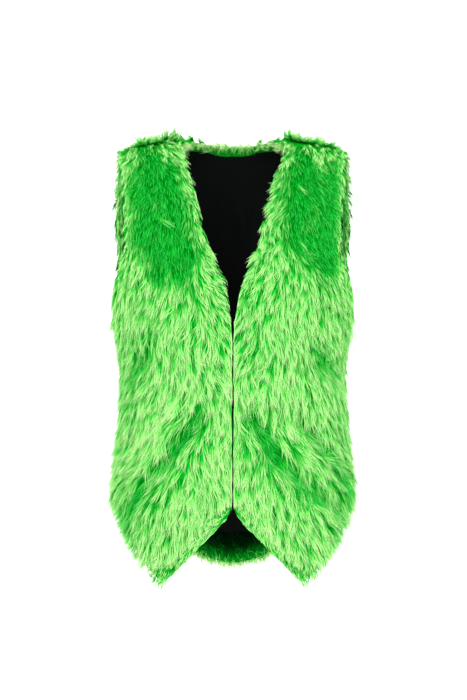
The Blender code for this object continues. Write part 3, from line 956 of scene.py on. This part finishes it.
def comb(panel, pairs, rng):
    """Direction, length, lift and tone of every lock, with the cloth's own directions at its root.

    A direction is the angle from straight down toward +X. `to_pairs` turns a step to the right and down the
    cloth into a step of turn and down, by the least squares of the form's two slopes.
    """
    face, (turn, down) = panel["face"], pairs.T
    points = form(face, turn, down)
    x, z = points[:, 0], points[:, 2]
    out, count = np.abs(x), len(x)
    at = SimpleNamespace(
        face=face, x=x, z=z, out=out,
        side=np.where(x < 0, -1.0, 1.0),
        low=step_up((-0.16 - z) / 0.10),
        corner=step_up((out - 0.128) / 0.032),
        outermost=np.clip(out / SIDE_OUT, 0, 1),
        away={name: distance_from(points, edge_points(panel, (name,))) for name in panel["edges"]},
    )
    locks = plain_nap(at)
    patch = comb_patches(locks, at)
    comb_folds(locks, at)
    beside(locks, at, "armhole")
    comb_ridge(locks, at, rng)
    if face == "front":
        comb_front(locks, at)
    else:
        comb_back(locks, at, rng)
    thin = 1 - 0.45 * near(at.away["armhole"], 0.013) - 0.25 * at.corner * near(at.away["ridge"], 0.025)
    # A painted shadow at each hip, and random mottle
    hip_shadow = np.exp(-(((out - 0.138) / 0.018) ** 2) - ((z + 0.530) / 0.026) ** 2)
    mottle = 0.05 * np.sin(x * 61 + 2 * np.sin(z * 23)) * np.sin(z * 47 + x * 31)
    tone = locks["tone"] - 0.20 * hip_shadow + mottle

    by_turn, by_down = slopes(face, turn, down)
    right = -unit(by_turn)
    below = unit(by_down - right * (by_down * right).sum(axis=1, keepdims=True))
    jacobian = np.stack([by_turn, by_down], axis=2)
    plane = np.stack([right, below], axis=2)
    square = np.einsum("nji,njk->nik", jacobian, jacobian)
    prominence = rng.normal(0, 1, count)
    tame, unruly = 1 - 0.6 * locks["loose"], 0.03 + 0.09 * at.outermost**6
    return {
        "face": face,
        "turn": turn,
        "down": down,
        "right": right,
        "below": below,
        "normal": outward(face, turn, down),
        "to_pairs": np.linalg.solve(square, np.einsum("nji,njk->nik", jacobian, plane)),
        "angle": locks["angle"] + rng.normal(0, 0.085, count) * tame,
        "curl": rng.normal(0, 0.20, count) * tame + 0.16 * np.sin(35 * x + 50 * z),
        "length": locks["length"] * rng.uniform(0.85, 1.12, count),
        "lift": np.clip(locks["lift"] + np.abs(rng.normal(0, 1, count)) * unruly, 0, 0.92),
        "lie": 0.0010 * prominence,
        "thin": thin * (1 - 0.22 * at.outermost**8 * at.low),
        "give": rng.random(count),
        "loose": locks["loose"],
        # Strands that lie higher are painted lighter, as if they caught more of the light
        "tone": tone + 0.10 * prominence * (1 - 0.7 * patch),
    }


def edge_locks(panel, edge, fringe, rng):
    """Locks of one row of turned fur: roots evenly far apart along an edge, then moved in from it."""
    steps = np.linalg.norm(np.diff(form("back", *edge.T), axis=0), axis=1)
    reach = np.concatenate([[0], np.cumsum(steps)])
    at = np.arange(TURNED_SPACING / 2, reach[-1], TURNED_SPACING)
    count = len(at)
    at = at + rng.uniform(-0.4, 0.4, count) * TURNED_SPACING
    locks = comb(panel, np.column_stack([np.interp(at, reach, edge[:, k]) for k in (0, 1)]), rng)
    side = np.where(np.cos(locks["turn"]) < 0, -1.0, 1.0)
    to_end = np.abs(form("back", locks["turn"], locks["down"])[:, 0]) / NECK_HALF
    to_end = np.clip(to_end, 0, 1) ** 2 * (fringe["edge"] == "neck")
    across, down = TURNED_INWARD[fringe["edge"]]
    inset = fringe["inset"] * toward(1, NECK_END_INSET_SHARE, to_end)
    flat = np.column_stack([side * across, np.full(count, down)]) * inset[:, None]
    moved = np.einsum("nij,nj->ni", locks["to_pairs"], flat)
    scatter = fringe["scatter"] * toward(1, NECK_END_SCATTER, to_end)
    return locks | {
        "turn": locks["turn"] + moved[:, 0],
        "down": locks["down"] + moved[:, 1],
        "angle": -side * (fringe["angle"] + rng.normal(0, 1, count) * scatter),
        "length": fringe["length"] * rng.uniform(0.70, 1.20, count) * toward(1, NECK_END_LENGTH, to_end),
        "lift": fringe["lift"] * rng.uniform(0.3, 1.6, count) + 0.25 * to_end * rng.random(count),
        "tone": fringe["tone"] + rng.normal(0, 0.05, count),
        "loose": np.full(count, 0.2),
        "normal": -locks["normal"],
    }


def turned_fur(settings, material):
    """Fur along the inner side of the back's neck, armhole and hem edges. At the neck's ends its rows
    spread further in, and its locks are longer and more scattered."""
    rng = np.random.default_rng(settings.seed + TURNED_SEED)
    panel, several = PANELS["back"], []
    for row in TURNED:
        fringe = dict(zip(TURNED_COLUMNS, row, strict=True))
        several += [edge_locks(panel, edge, fringe, rng) for edge in panel["edges"][fringe["edge"]]]
    joined = {
        name: "back" if name == "face" else np.concatenate([locks[name] for locks in several])
        for name in several[0]
    }
    return strands("fur_back_edges", joined, "turned", settings, TURNED_STRANDS_SEED, material)


def facing_fur(settings, material):
    """Short fur inside the hem: its locks lie on the form's inner side, in painted shade, dark above and
    lighter to the hem.
    """
    panel = PANELS["back"]
    locks = grow_locks(panel, settings, settings.seed + FACING_SEED)
    from_hem = distance_from(form("back", locks["turn"], locks["down"]), edge_points(panel, ("hem",)))
    inner = from_hem < FACING_HEIGHT
    count = inner.sum()
    rng = np.random.default_rng(settings.seed + FACING_LOCKS_SEED)
    locks = picked(locks, inner) | {
        "normal": -locks["normal"][inner],
        "length": rng.uniform(0.011, 0.017, count),
        "angle": rng.normal(0, 0.3, count),
        "lift": np.full(count, 0.04),
        "loose": np.full(count, 1.0),
        "tone": 0.85 * near(from_hem[inner], 0.014) + rng.normal(0, 0.01, count),
    }
    return strands("fur_hem_facing", locks, "facing", settings, FACING_STRANDS_SEED, material)


EDGE_CLEAR = 0.0004  # how far strands stay from the edges that meet in front
V_OVERHANG = 0.0085  # how far tips hang over the edge of the V, at most
ARM_OVERHANG, UNDERARM_OVERHANG = 0.0045, 0.030  # the same at the armhole, by the shoulder and lower down
HELD = 0.9  # share of what goes further that is laid back
STRAY_SHARE = 0.03  # strands that stand out of the pile
PALE_SHARE, PALER = 0.22, 0.22  # strands painted paler as highlights, and how much paler
GATHER_POWER, HEIGHT_POWER = 0.8, 0.42  # how a lock draws together, and how its strands rise, along them
ROLL = 0.7  # radians by which strands are turned about their length, at most
TONE_NOISE = 0.07


def picked(locks, which):
    """Some of the locks, by a mask or by their numbers."""
    return {name: value if isinstance(value, str) else value[which] for name, value in locks.items()}


def strand_paths(locks, layer, settings, rng):
    """Centre lines, side directions and tones of all strands.

    A strand starts beside its lock's root and ends near the lock's tip, so the lock tapers. In the plane of
    the cloth its direction turns evenly by the lock's curl, each place is laid on the form again, and its
    height over the backing rises as a power of the share along it, plus the lift.
    """
    locks = picked(locks, np.repeat(np.arange(len(locks["turn"])), layer["strands"]))
    count, loose, normal = len(locks["turn"]), locks["loose"], locks["normal"][:, None]
    reach = np.sqrt(rng.random(count)) * (1 + 0.5 * loose)
    bearing = rng.random(count) * 2 * np.pi
    root = np.stack([np.cos(bearing), np.sin(bearing)], axis=1)
    root *= (reach * settings.root_spread * layer["spread"])[:, None]
    tip = rng.normal(0, settings.tip_spread, (count, 2)) * (layer["splay"] * (1 + 2.2 * loose))[:, None]
    length = locks["length"] * rng.uniform(0.74, 1.06, count) * layer["length"]
    s = np.array((0.0, *layer["rings"], 1.0))[None]
    curl = locks["curl"] + rng.normal(0, 0.10, count)
    heading = (locks["angle"] + rng.normal(0, 0.05, count))[:, None] + curl[:, None] * (s - 0.3)
    lift = locks["lift"][:, None]
    run = length[:, None] * s * np.sqrt(1 - lift**2)
    gather = s**GATHER_POWER
    flat = np.stack([run * np.sin(heading), run * np.cos(heading)], axis=-1)
    flat += root[:, None] * (1 - gather)[..., None] + tip[:, None] * gather[..., None]
    moved = np.einsum("nij,nkj->nki", locks["to_pairs"], flat)
    turn = locks["turn"][:, None] + moved[..., 0]
    down = locks["down"][:, None] + moved[..., 1]
    lie = settings.pile * locks["thin"] + locks["lie"]
    lie = lie + rng.normal(0, 0.0005, count) + layer["above"]
    stray = rng.random(count) < STRAY_SHARE
    lie = lie + stray * rng.uniform(0.001, 0.004, count)
    root_height = settings.root_height + layer["root"]
    height = root_height + (lie[:, None] - root_height) * s**HEIGHT_POWER * (1 - 0.8 * lift)
    height = height + lift * length[:, None] * s
    centre = held_in(form(locks["face"], turn, down) + normal * height[..., None], locks)
    heading = heading + curl[:, None] * s
    side = locks["right"][:, None] * np.cos(heading)[..., None]
    side = side - locks["below"][:, None] * np.sin(heading)[..., None]
    roll = rng.uniform(-ROLL, ROLL, count)[:, None, None]
    across = side * np.cos(roll) + normal * np.sin(roll)
    up = normal * np.cos(roll) - side * np.sin(roll)
    tone = locks["tone"] * toward(layer["tone"], 1.0, 0.7 * loose)
    noise = TONE_NOISE * toward(1.0, 0.7, loose) * np.clip(tone / 0.25, 0.1, 1)
    # Random tone, painted shade toward a lock's edges, and painted highlights on a few pale strands
    tone = tone + rng.normal(0, 1, count) * noise - 0.06 * reach * (1 - loose)
    tone = tone + PALER * (rng.random(count) < PALE_SHARE) * (tone > 0.45)
    width = settings.strand_width * layer["width"] * rng.uniform(0.75, 1.2, count)
    return centre, across, up, np.clip(tone, layer["darkest"], 0.98), width, s[0]


def edge_by_height(name):
    """An edge of the right front as distances out at rising heights."""
    places = form("front", *PANELS["right"]["edges"][name][0].T)
    order = np.argsort(places[:, 2])
    return places[order, 2], np.abs(places[order, 0])


def held_in(points, locks):
    """Points of the strands of a front, held near its edges.

    Over the V and the armhole, tips may hang a few millimetres. They keep clear of the other front below
    the V, and of the slanted hem. What goes further is laid back, but for a tenth of the way.
    """
    if locks["face"] != "front":
        return points
    side = 1 if np.cos(locks["turn"]).mean() > 0 else -1
    out, y, z = points[..., 0] * side, points[..., 1], points[..., 2]
    edge = np.interp(-z, *np.array(FRONT_EDGE).T)
    below_v = step_up((-0.255 - z) / 0.02)
    give = toward(0.45, 1.9, locks["give"][:, None] ** 2)
    overhang = toward(np.minimum(V_OVERHANG, 0.34 * edge) * give, -EDGE_CLEAR, below_v)
    out = out + np.maximum(edge - overhang - out, 0) * HELD
    height, arm = edge_by_height("armhole")
    overhang = toward(ARM_OVERHANG * give, UNDERARM_OVERHANG, step_up((-0.115 - z) / 0.06))
    limit = np.where(z > height[0], np.interp(z, height, arm) + overhang, 1.0)
    out = out - np.maximum(out - limit, 0) * HELD
    hem = np.interp(out, *np.array(HEM_TO_POINT).T)
    short = np.maximum(hem - z, 0) * HELD * (out < HEM_TO_POINT[-1][0])
    return np.stack([out * side, y, z + short], axis=-1)


def strands(name, locks, layer_name, settings, seed_step, material):
    """Closed tapering strands as one mesh: a root point, rings of three points, and a tip point.

    A ring's points lie half a width to each side of the centre line and a share of the width above it.
    """
    rng = np.random.default_rng(settings.seed + seed_step)
    layer = LAYERS[layer_name]
    centre, across, up, tone, width, s = strand_paths(locks, layer, settings, rng)
    rings = len(layer["rings"])
    taper = np.array(layer["taper"])[None, :, None]
    half = width[:, None, None] / 2 * taper
    middle, reach = centre[:, 1:-1], across[:, 1:-1] * half
    raised = middle + up[:, 1:-1] * half * settings.roundness * 2
    loop = np.stack([middle - reach, raised, middle + reach], axis=2)
    count = len(centre)
    points = np.concatenate([centre[:, :1], loop.reshape(count, -1, 3), centre[:, -1:]], axis=1)
    per_strand = points.shape[1]
    turned = np.array([0, 1, 2, 0])
    quads = [
        (1 + 3 * r + turned[k], 1 + 3 * r + turned[k + 1], 4 + 3 * r + turned[k + 1], 4 + 3 * r + turned[k])
        for r in range(rings - 1) for k in range(3)
    ]
    last = 1 + 3 * (rings - 1)
    triangles = [(0, 1 + turned[k + 1], 1 + turned[k]) for k in range(3)]
    triangles += [(per_strand - 1, last + turned[k], last + turned[k + 1]) for k in range(3)]
    quads, triangles = np.array(quads, int).reshape(-1, 4), np.array(triangles, int)
    if np.einsum("ij,ij->i", np.cross(locks["right"], locks["below"]), locks["normal"]).mean() <= 0:
        quads, triangles = quads[:, ::-1], triangles[:, ::-1]
    offset = np.arange(count)[:, None, None] * per_strand
    tone_step = np.concatenate([[0], np.tile((-1, 0, 1), rings), [0]]) * 0.004
    share = toward(np.concatenate([[0], np.repeat(s[1:-1], 3), [1]]), 1.0, layer["pale"])
    uv = np.stack(np.broadcast_arrays(tone[:, None] + tone_step[None], share[None]), axis=-1)
    corner_uv = np.concatenate([uv[:, quads].reshape(-1, 2), uv[:, triangles].reshape(-1, 2)])
    quads, triangles = (quads[None] + offset).reshape(-1, 4), (triangles[None] + offset).reshape(-1, 3)
    return put_mesh(name, points.reshape(-1, 3), quads, triangles, material, corner_uv)


# Kinds of strand. The rings are shares of the strand's length, with the share of the width at each. Root
# and above move the root and the lying height. Spread and splay are shares of the root spread and the tip
# spread, tone is a share of the lock's tone, and pale is how much paler a strand starts at its root. The
# underfur's smaller share of tone is painted shade below the guard hairs, and pale moves a strand toward
# its tip's painted sheen.
LAYER_COLUMNS = (
    "strands", "rings", "taper", "width", "length", "root", "above", "spread", "splay", "tone", "darkest",
    "pale",
)
TWO_RINGS = (0.30, 0.68)
LAYERS = {
    name: dict(zip(LAYER_COLUMNS, row, strict=True)) for name, row in {
        "underfur": (6, (0.45,), (1.0,), 1.25, 0.80, 0.0, -0.0022, 1.0, 2.0, 0.50, 0.15, 0.0),
        "guard_hair": (8, TWO_RINGS, (1.0, 0.75), 0.72, 1.0, 0.0, 0.0, 0.6, 1.0, 1.04, 0.15, 0.0),
        "turned": (7, TWO_RINGS, (1.0, 0.75), 0.72, 1.0, -0.0034, -0.0065, 0.6, 1.0, 1.04, 0.15, 0.4),
        "facing": (5, TWO_RINGS, (1.0, 0.75), 0.72, 1.0, 0.0, -0.0045, 0.6, 1.0, 1.0, 0.0, 0.3),
    }.items()
}

# Fur that turns over the neck, armhole and hem edges of the back onto its inner side: edge, distance of
# its roots inside the edge, direction at the left, its scatter, length, lift and tone. The tone is painted
# shade at the neck and armholes, darker the further in a row lies.
TURNED_COLUMNS = ("edge", "inset", "angle", "scatter", "length", "lift", "tone")
TURNED = (
    ("neck", 0.0078, np.pi, 0.25, 0.0190, 0.12, 0.66),
    ("neck", 0.0040, np.pi, 0.35, 0.0200, 0.22, 0.84),
    ("neck", 0.0008, np.pi, 0.45, 0.0190, 0.34, 0.98),
    ("armhole", 0.0270, -0.20, 0.20, 0.0240, 0.14, 0.16),
    ("armhole", 0.0190, -0.25, 0.20, 0.0240, 0.16, 0.18),
    ("armhole", 0.0120, -0.40, 0.20, 0.0220, 0.18, 0.26),
    ("armhole", 0.0060, -0.55, 0.25, 0.0180, 0.18, 0.50),
    ("armhole", 0.0005, -0.75, 0.25, 0.0150, 0.20, 0.80),
    ("hem", 0.0030, 0.00, 0.35, 0.0110, 0.05, 0.98),
    ("hem", 0.0005, 0.00, 0.40, 0.0090, 0.08, 0.98),
)
NECK_END_INSET_SHARE, NECK_END_LENGTH, NECK_END_SCATTER = 2.4, 1.45, 1.2  # times as much there
TURNED_INWARD = {"neck": (0, 1), "armhole": (-1, 0), "hem": (0, -1)}
TURNED_SPACING = 0.0052

# Fur pieces: where each lies, its layer, its panel, and the heights between which its locks have their roots
BOTTOM, WAIST, TOP = -1.0, -0.330, 1.0
FUR_PIECES = [
    (f"fur_{place}_{layer}", layer, panel_name, low, high)
    for panel_name, places in (
        ("left", (("left", BOTTOM, TOP),)),
        ("right", (("right", BOTTOM, TOP),)),
        ("back", (("back_chest", WAIST, TOP), ("back_hips", BOTTOM, WAIST))),
    )
    for layer in ("underfur", "guard_hair")
    for place, low, high in places
]

# Cloth pieces: panel, node that it replaces, cells across and along, flat cut (width, length) and its area
SHELLS = {
    "fur_cloth_left": ("left", "front_left", 32, 56, (0.31, 0.67), 0.104),
    "fur_cloth_right": ("right", "front_right", 32, 56, (0.31, 0.67), 0.104),
    "fur_cloth_back": ("back", "back", 60, 56, (0.50, 0.63), 0.234),
}
LININGS = {
    "satin_left": ("left", "lining_left", 32, 60, (0.30, 0.66), 0.100),
    "satin_right": ("right", "lining_right", 32, 60, (0.30, 0.66), 0.100),
    "satin_back": ("back", "lining_back", 72, 64, (0.49, 0.58), 0.210),
}
FACING_CELLS = (60, 6)


def length_property(name, description, default):
    """A length in metres."""
    return FloatProperty(name=name, description=description, default=default, unit="LENGTH")


def colour_property(name, description, red, green, blue):
    """A display colour, given by values up to 255."""
    colour = (red / 255, green / 255, blue / 255)
    return FloatVectorProperty(
        name=name, description=description, subtype="COLOR_GAMMA", default=colour, min=0, max=1
    )


class VestPile(bpy.types.PropertyGroup):
    """Sizes of the pile."""

    lock_across: length_property("Lock width", "Distance between locks across", 0.0067)
    lock_down: length_property("Lock rows", "Distance between rows of locks", 0.0087)
    pile: length_property("Pile", "Height of the lying pile's tips over the form", 0.0102)
    root_height: length_property("Root height", "Height of the roots over the form", 0.0034)
    root_spread: length_property("Root spread", "Radius of a lock at its roots", 0.0052)
    tip_spread: length_property("Tip spread", "Scatter of a lock's tips", 0.0014)
    strand_width: length_property("Strand width", "Width of a strand where it is widest", 0.0013)
    undercoat: length_property("Undercoat", "Height of the dense short fur", 0.0042)
    roundness: FloatProperty(
        name="Strand roundness", description="Height of a strand against its width", default=0.3, min=0.1
    )
    seed: IntProperty(name="Seed", description="Seed of the random placing", default=SEED, min=0)


# Colours of the pile ramps: root, middle and tip. The shade ramp is painted shade, and the deep green one
# shows where painted shade lowers the tone, as in the patches. Each ramp's darker root is painted shade deep
# in the pile, and the lime's pale tip is a painted sheen.
PILE_RAMPS = {
    "lime": ((14, 188, 48), (152, 238, 120), (236, 255, 192)),
    "deep": ((0, 122, 18), (0, 170, 34), (62, 230, 92)),
    "shade": ((0, 16, 3), (2, 22, 4), (5, 34, 8)),
}


class VestColours(bpy.types.PropertyGroup):
    """Display colours of the pile, for each of its ramps from root to tip, and of the lining."""

    __annotations__ = {
        f"{dye}_{part}": colour_property(f"{dye.title()} {part}", f"The {part} of the {dye} pile", *colour)
        for dye, colours in PILE_RAMPS.items()
        for part, colour in zip(PILE_STOPS, colours)
    } | {"satin": colour_property("Satin", "Colour of the lining", 6, 8, 7)}


class VestStage(bpy.types.PropertyGroup):
    """Floor, lights and camera."""

    floor_height: length_property("Floor", "Height of the floor", -1.38)
    key_power: FloatProperty(name="Key light", description="Its power", default=60, unit="POWER")
    fill_power: FloatProperty(name="Fill lights", description="Power of each", default=32, unit="POWER")
    surround: FloatProperty(name="Surround", description="Strength of its white light", default=1.65, min=0)
    lens: FloatProperty(name="Lens", description="Focal length", default=106.4, unit="CAMERA")


class VEST_OT_pile(bpy.types.Operator):
    """Grow the pile of the two fronts and the back"""

    bl_idname = "vest.pile"
    bl_label = "Pile"

    def execute(self, context):
        settings, material = context.scene.vest_pile, pile_material()
        seeds = {name: settings.seed + k for k, name in enumerate(sorted(PANELS))}
        grown = {name: grow_locks(PANELS[name], settings, seed) for name, seed in seeds.items()}
        fur = []
        for k, (name, layer, panel_name, low, high) in enumerate(FUR_PIECES):
            locks = grown[panel_name]
            height = form(locks["face"], locks["turn"], locks["down"])[:, 2]
            locks = picked(locks, (height >= low) & (height < high))
            fur.append(strands(name, locks, layer, settings, PILE_SEED + k, material))
        for piece in (*fur, turned_fur(settings, material)):
            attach(piece, "root")
        return {"FINISHED"}


class VEST_OT_fur_cloth(bpy.types.Operator):
    """Make the fur cloth of the two fronts and the back, under the pile"""

    bl_idname = "vest.fur_cloth"
    bl_label = "Fur cloth"

    def execute(self, context):
        material = undercoat_material()
        for name, (panel_name, node, across, down, flat, area) in SHELLS.items():
            panel = PANELS[panel_name]
            base, normal = cloth_at(panel["face"], panel_at(panel, *shares(across, down)))
            full = context.scene.vest_pile.undercoat
            height = BACKING + undercoat(base, edge_points(panel, panel["free"]), full)
            shell = wall(name, base + normal * height[..., None], base, material, panel_name == "left")
            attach(shell, "root")
            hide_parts(node)
        return {"FINISHED"}


class VEST_OT_lining(bpy.types.Operator):
    """Make the satin lining of the two fronts and the back"""

    bl_idname = "vest.lining"
    bl_label = "Lining"

    def execute(self, context):
        material = satin_material()
        for name, (panel_name, node, across, down, flat, area) in LININGS.items():
            panel = PANELS[panel_name]
            face = panel["face"]
            base, normal = cloth_at(face, panel_at(panel, *lining_shares(panel, *shares(across, down))))
            gap = LINING_GAP + fold_depth(LINING_CREASES[face], base[..., 0], base[..., 2])
            if face == "back":
                gap[:, 0] += NECK_EASE
            outer = base - normal * gap[..., None]
            inner = base - normal * (gap + LINING)[..., None]
            satin = wall(name, outer, inner, material, panel_name == "left")
            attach(satin, "root")
            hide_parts(node)
        return {"FINISHED"}


class VEST_OT_hem_facing(bpy.types.Operator):
    """Make the strip of fur cloth that faces the inside of the back hem"""

    bl_idname = "vest.hem_facing"
    bl_label = "Hem facing"

    def execute(self, context):
        panel, (u, v) = PANELS["back"], shares(*FACING_CELLS)
        plain = panel_at(panel, u, v)
        height = FACING_HEIGHT / spans(form("back", plain[..., 0], plain[..., 1]), 1)
        base, normal = cloth_at("back", panel_at(panel, u, 1 - height * (1 - v)))
        outer, material = base - normal * LINING_GAP, bpy.data.materials["pile"]
        uv = (0.25 * v**4, 0.1 + 0.1 * u)  # painted shade, lighter to the hem, and the root's colour all over
        strip = wall("hem_facing", outer, outer - normal * FACING_BACKING, material, False, uv)
        fur = facing_fur(context.scene.vest_pile, material)
        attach(strip, "root")
        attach(fur, "root")
        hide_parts("hem_facing_back")
        return {"FINISHED"}


FLOOR_RADIUS, FLOOR_RISE = 12, 0.3
FLOOR_RINGS, FLOOR_SPOKES = 24, 72
CAMERA_DISTANCE, CAMERA_HEIGHT, CAMERA_SIDE = 3.0, -0.2978, 0.001  # level, in front of the shoulders

# Lamps: place, side of the square, and which power it has
LAMPS = {
    "key": ((-1.3, -2.6, 1.1), 1.8, "key_power"),
    "fill": ((1.8, -2.4, 0.2), 1.6, "fill_power"),
    "rim": ((0.6, 2.6, 1.6), 1.8, "fill_power"),
}


def floor_mesh(settings):
    """A round floor whose rim rises in a gentle curve: height is the fourth power of the radius."""
    around = np.linspace(0, 2 * np.pi, FLOOR_SPOKES + 1)[:-1]
    radius, around = np.meshgrid(np.linspace(0.01, 1, FLOOR_RINGS), around, indexing="ij")
    x, y = radius * np.cos(around) * FLOOR_RADIUS, radius * np.sin(around) * FLOOR_RADIUS
    points = np.stack([x, y, settings.floor_height + FLOOR_RISE * radius**4], axis=-1).reshape(-1, 3)
    index = np.arange(FLOOR_RINGS * FLOOR_SPOKES).reshape(FLOOR_RINGS, FLOOR_SPOKES)
    following = np.roll(index, -1, axis=1)
    quads = np.stack([index[:-1], index[1:], following[1:], following[:-1]], axis=-1).reshape(-1, 4)
    triangles = np.stack([np.full(FLOOR_SPOKES, len(points)), index[0], following[0]], axis=-1)
    points = np.concatenate([points, [(0, 0, settings.floor_height)]])
    material = make_material("floor", 0.9, 0.1, {}, ())
    shader = material.node_tree.nodes["Principled BSDF"]
    shader.inputs["Base Color"].default_value = (0.96, 0.96, 0.96, 1)
    return put_mesh("floor", points, quads, triangles, material)


class VEST_OT_stage(bpy.types.Operator):
    """Set up the pale floor, the soft lights and the camera"""

    bl_idname = "vest.stage"
    bl_label = "Stage"

    def execute(self, context):
        scene, settings = context.scene, context.scene.vest_stage
        floor_mesh(settings)
        for name, (place, size, power_name) in LAMPS.items():
            lamp = bpy.data.lights.new(name, "AREA")
            lamp.size = size
            lamp.energy = getattr(settings, power_name)
            light = bpy.data.objects.new(name, lamp)
            light.location = place
            direction = Vector((0.0, 0.0, CAMERA_HEIGHT)) - Vector(place)
            light.rotation_euler = direction.to_track_quat("-Z", "Y").to_euler()
            scene.collection.objects.link(light)
        world = bpy.data.worlds.new("surround")
        world.use_nodes = True
        background = world.node_tree.nodes["Background"]
        background.inputs["Color"].default_value = (1, 1, 1, 1)
        background.inputs["Strength"].default_value = settings.surround
        scene.world = world
        lens = bpy.data.cameras.new("camera")
        lens.lens = settings.lens
        camera = bpy.data.objects.new("camera", lens)
        camera.location = (CAMERA_SIDE, -CAMERA_DISTANCE, CAMERA_HEIGHT)
        camera.rotation_euler = (np.pi / 2, 0, 0)
        scene.collection.objects.link(camera)
        scene.camera = camera
        scene.view_settings.view_transform = "Standard"
        return {"FINISHED"}


class VEST_PT_sidebar(bpy.types.Panel):
    """Sizes, colours and steps of the vest"""

    bl_idname = "VEST_PT_sidebar"
    bl_label = "Faux Fur Vest"
    bl_space_type = "VIEW_3D"
    bl_region_type = "UI"
    bl_category = "Vest"

    def draw(self, context):
        for operator in OPERATORS:
            self.layout.operator(operator.bl_idname)
        for group in (context.scene.vest_pile, context.scene.vest_colours, context.scene.vest_stage):
            for name in group.__annotations__:
                self.layout.prop(group, name)


OPERATORS = (VEST_OT_pile, VEST_OT_fur_cloth, VEST_OT_lining, VEST_OT_hem_facing, VEST_OT_stage)
GROUPS = {"vest_pile": VestPile, "vest_colours": VestColours, "vest_stage": VestStage}


def register():
    for group_name, group in GROUPS.items():
        bpy.utils.register_class(group)
        setattr(bpy.types.Scene, group_name, PointerProperty(type=group))
    for entry in (*OPERATORS, VEST_PT_sidebar):
        bpy.utils.register_class(entry)


def unregister():
    for entry in (VEST_PT_sidebar, *reversed(OPERATORS)):
        bpy.utils.unregister_class(entry)
    for group_name, group in GROUPS.items():
        delattr(bpy.types.Scene, group_name)
        bpy.utils.unregister_class(group)


def main():
    register()
    bpy.ops.vest.pile()
    bpy.ops.vest.fur_cloth()
    bpy.ops.vest.lining()
    bpy.ops.vest.hem_facing()
    bpy.ops.vest.stage()


if __name__ == "__main__":
    main()
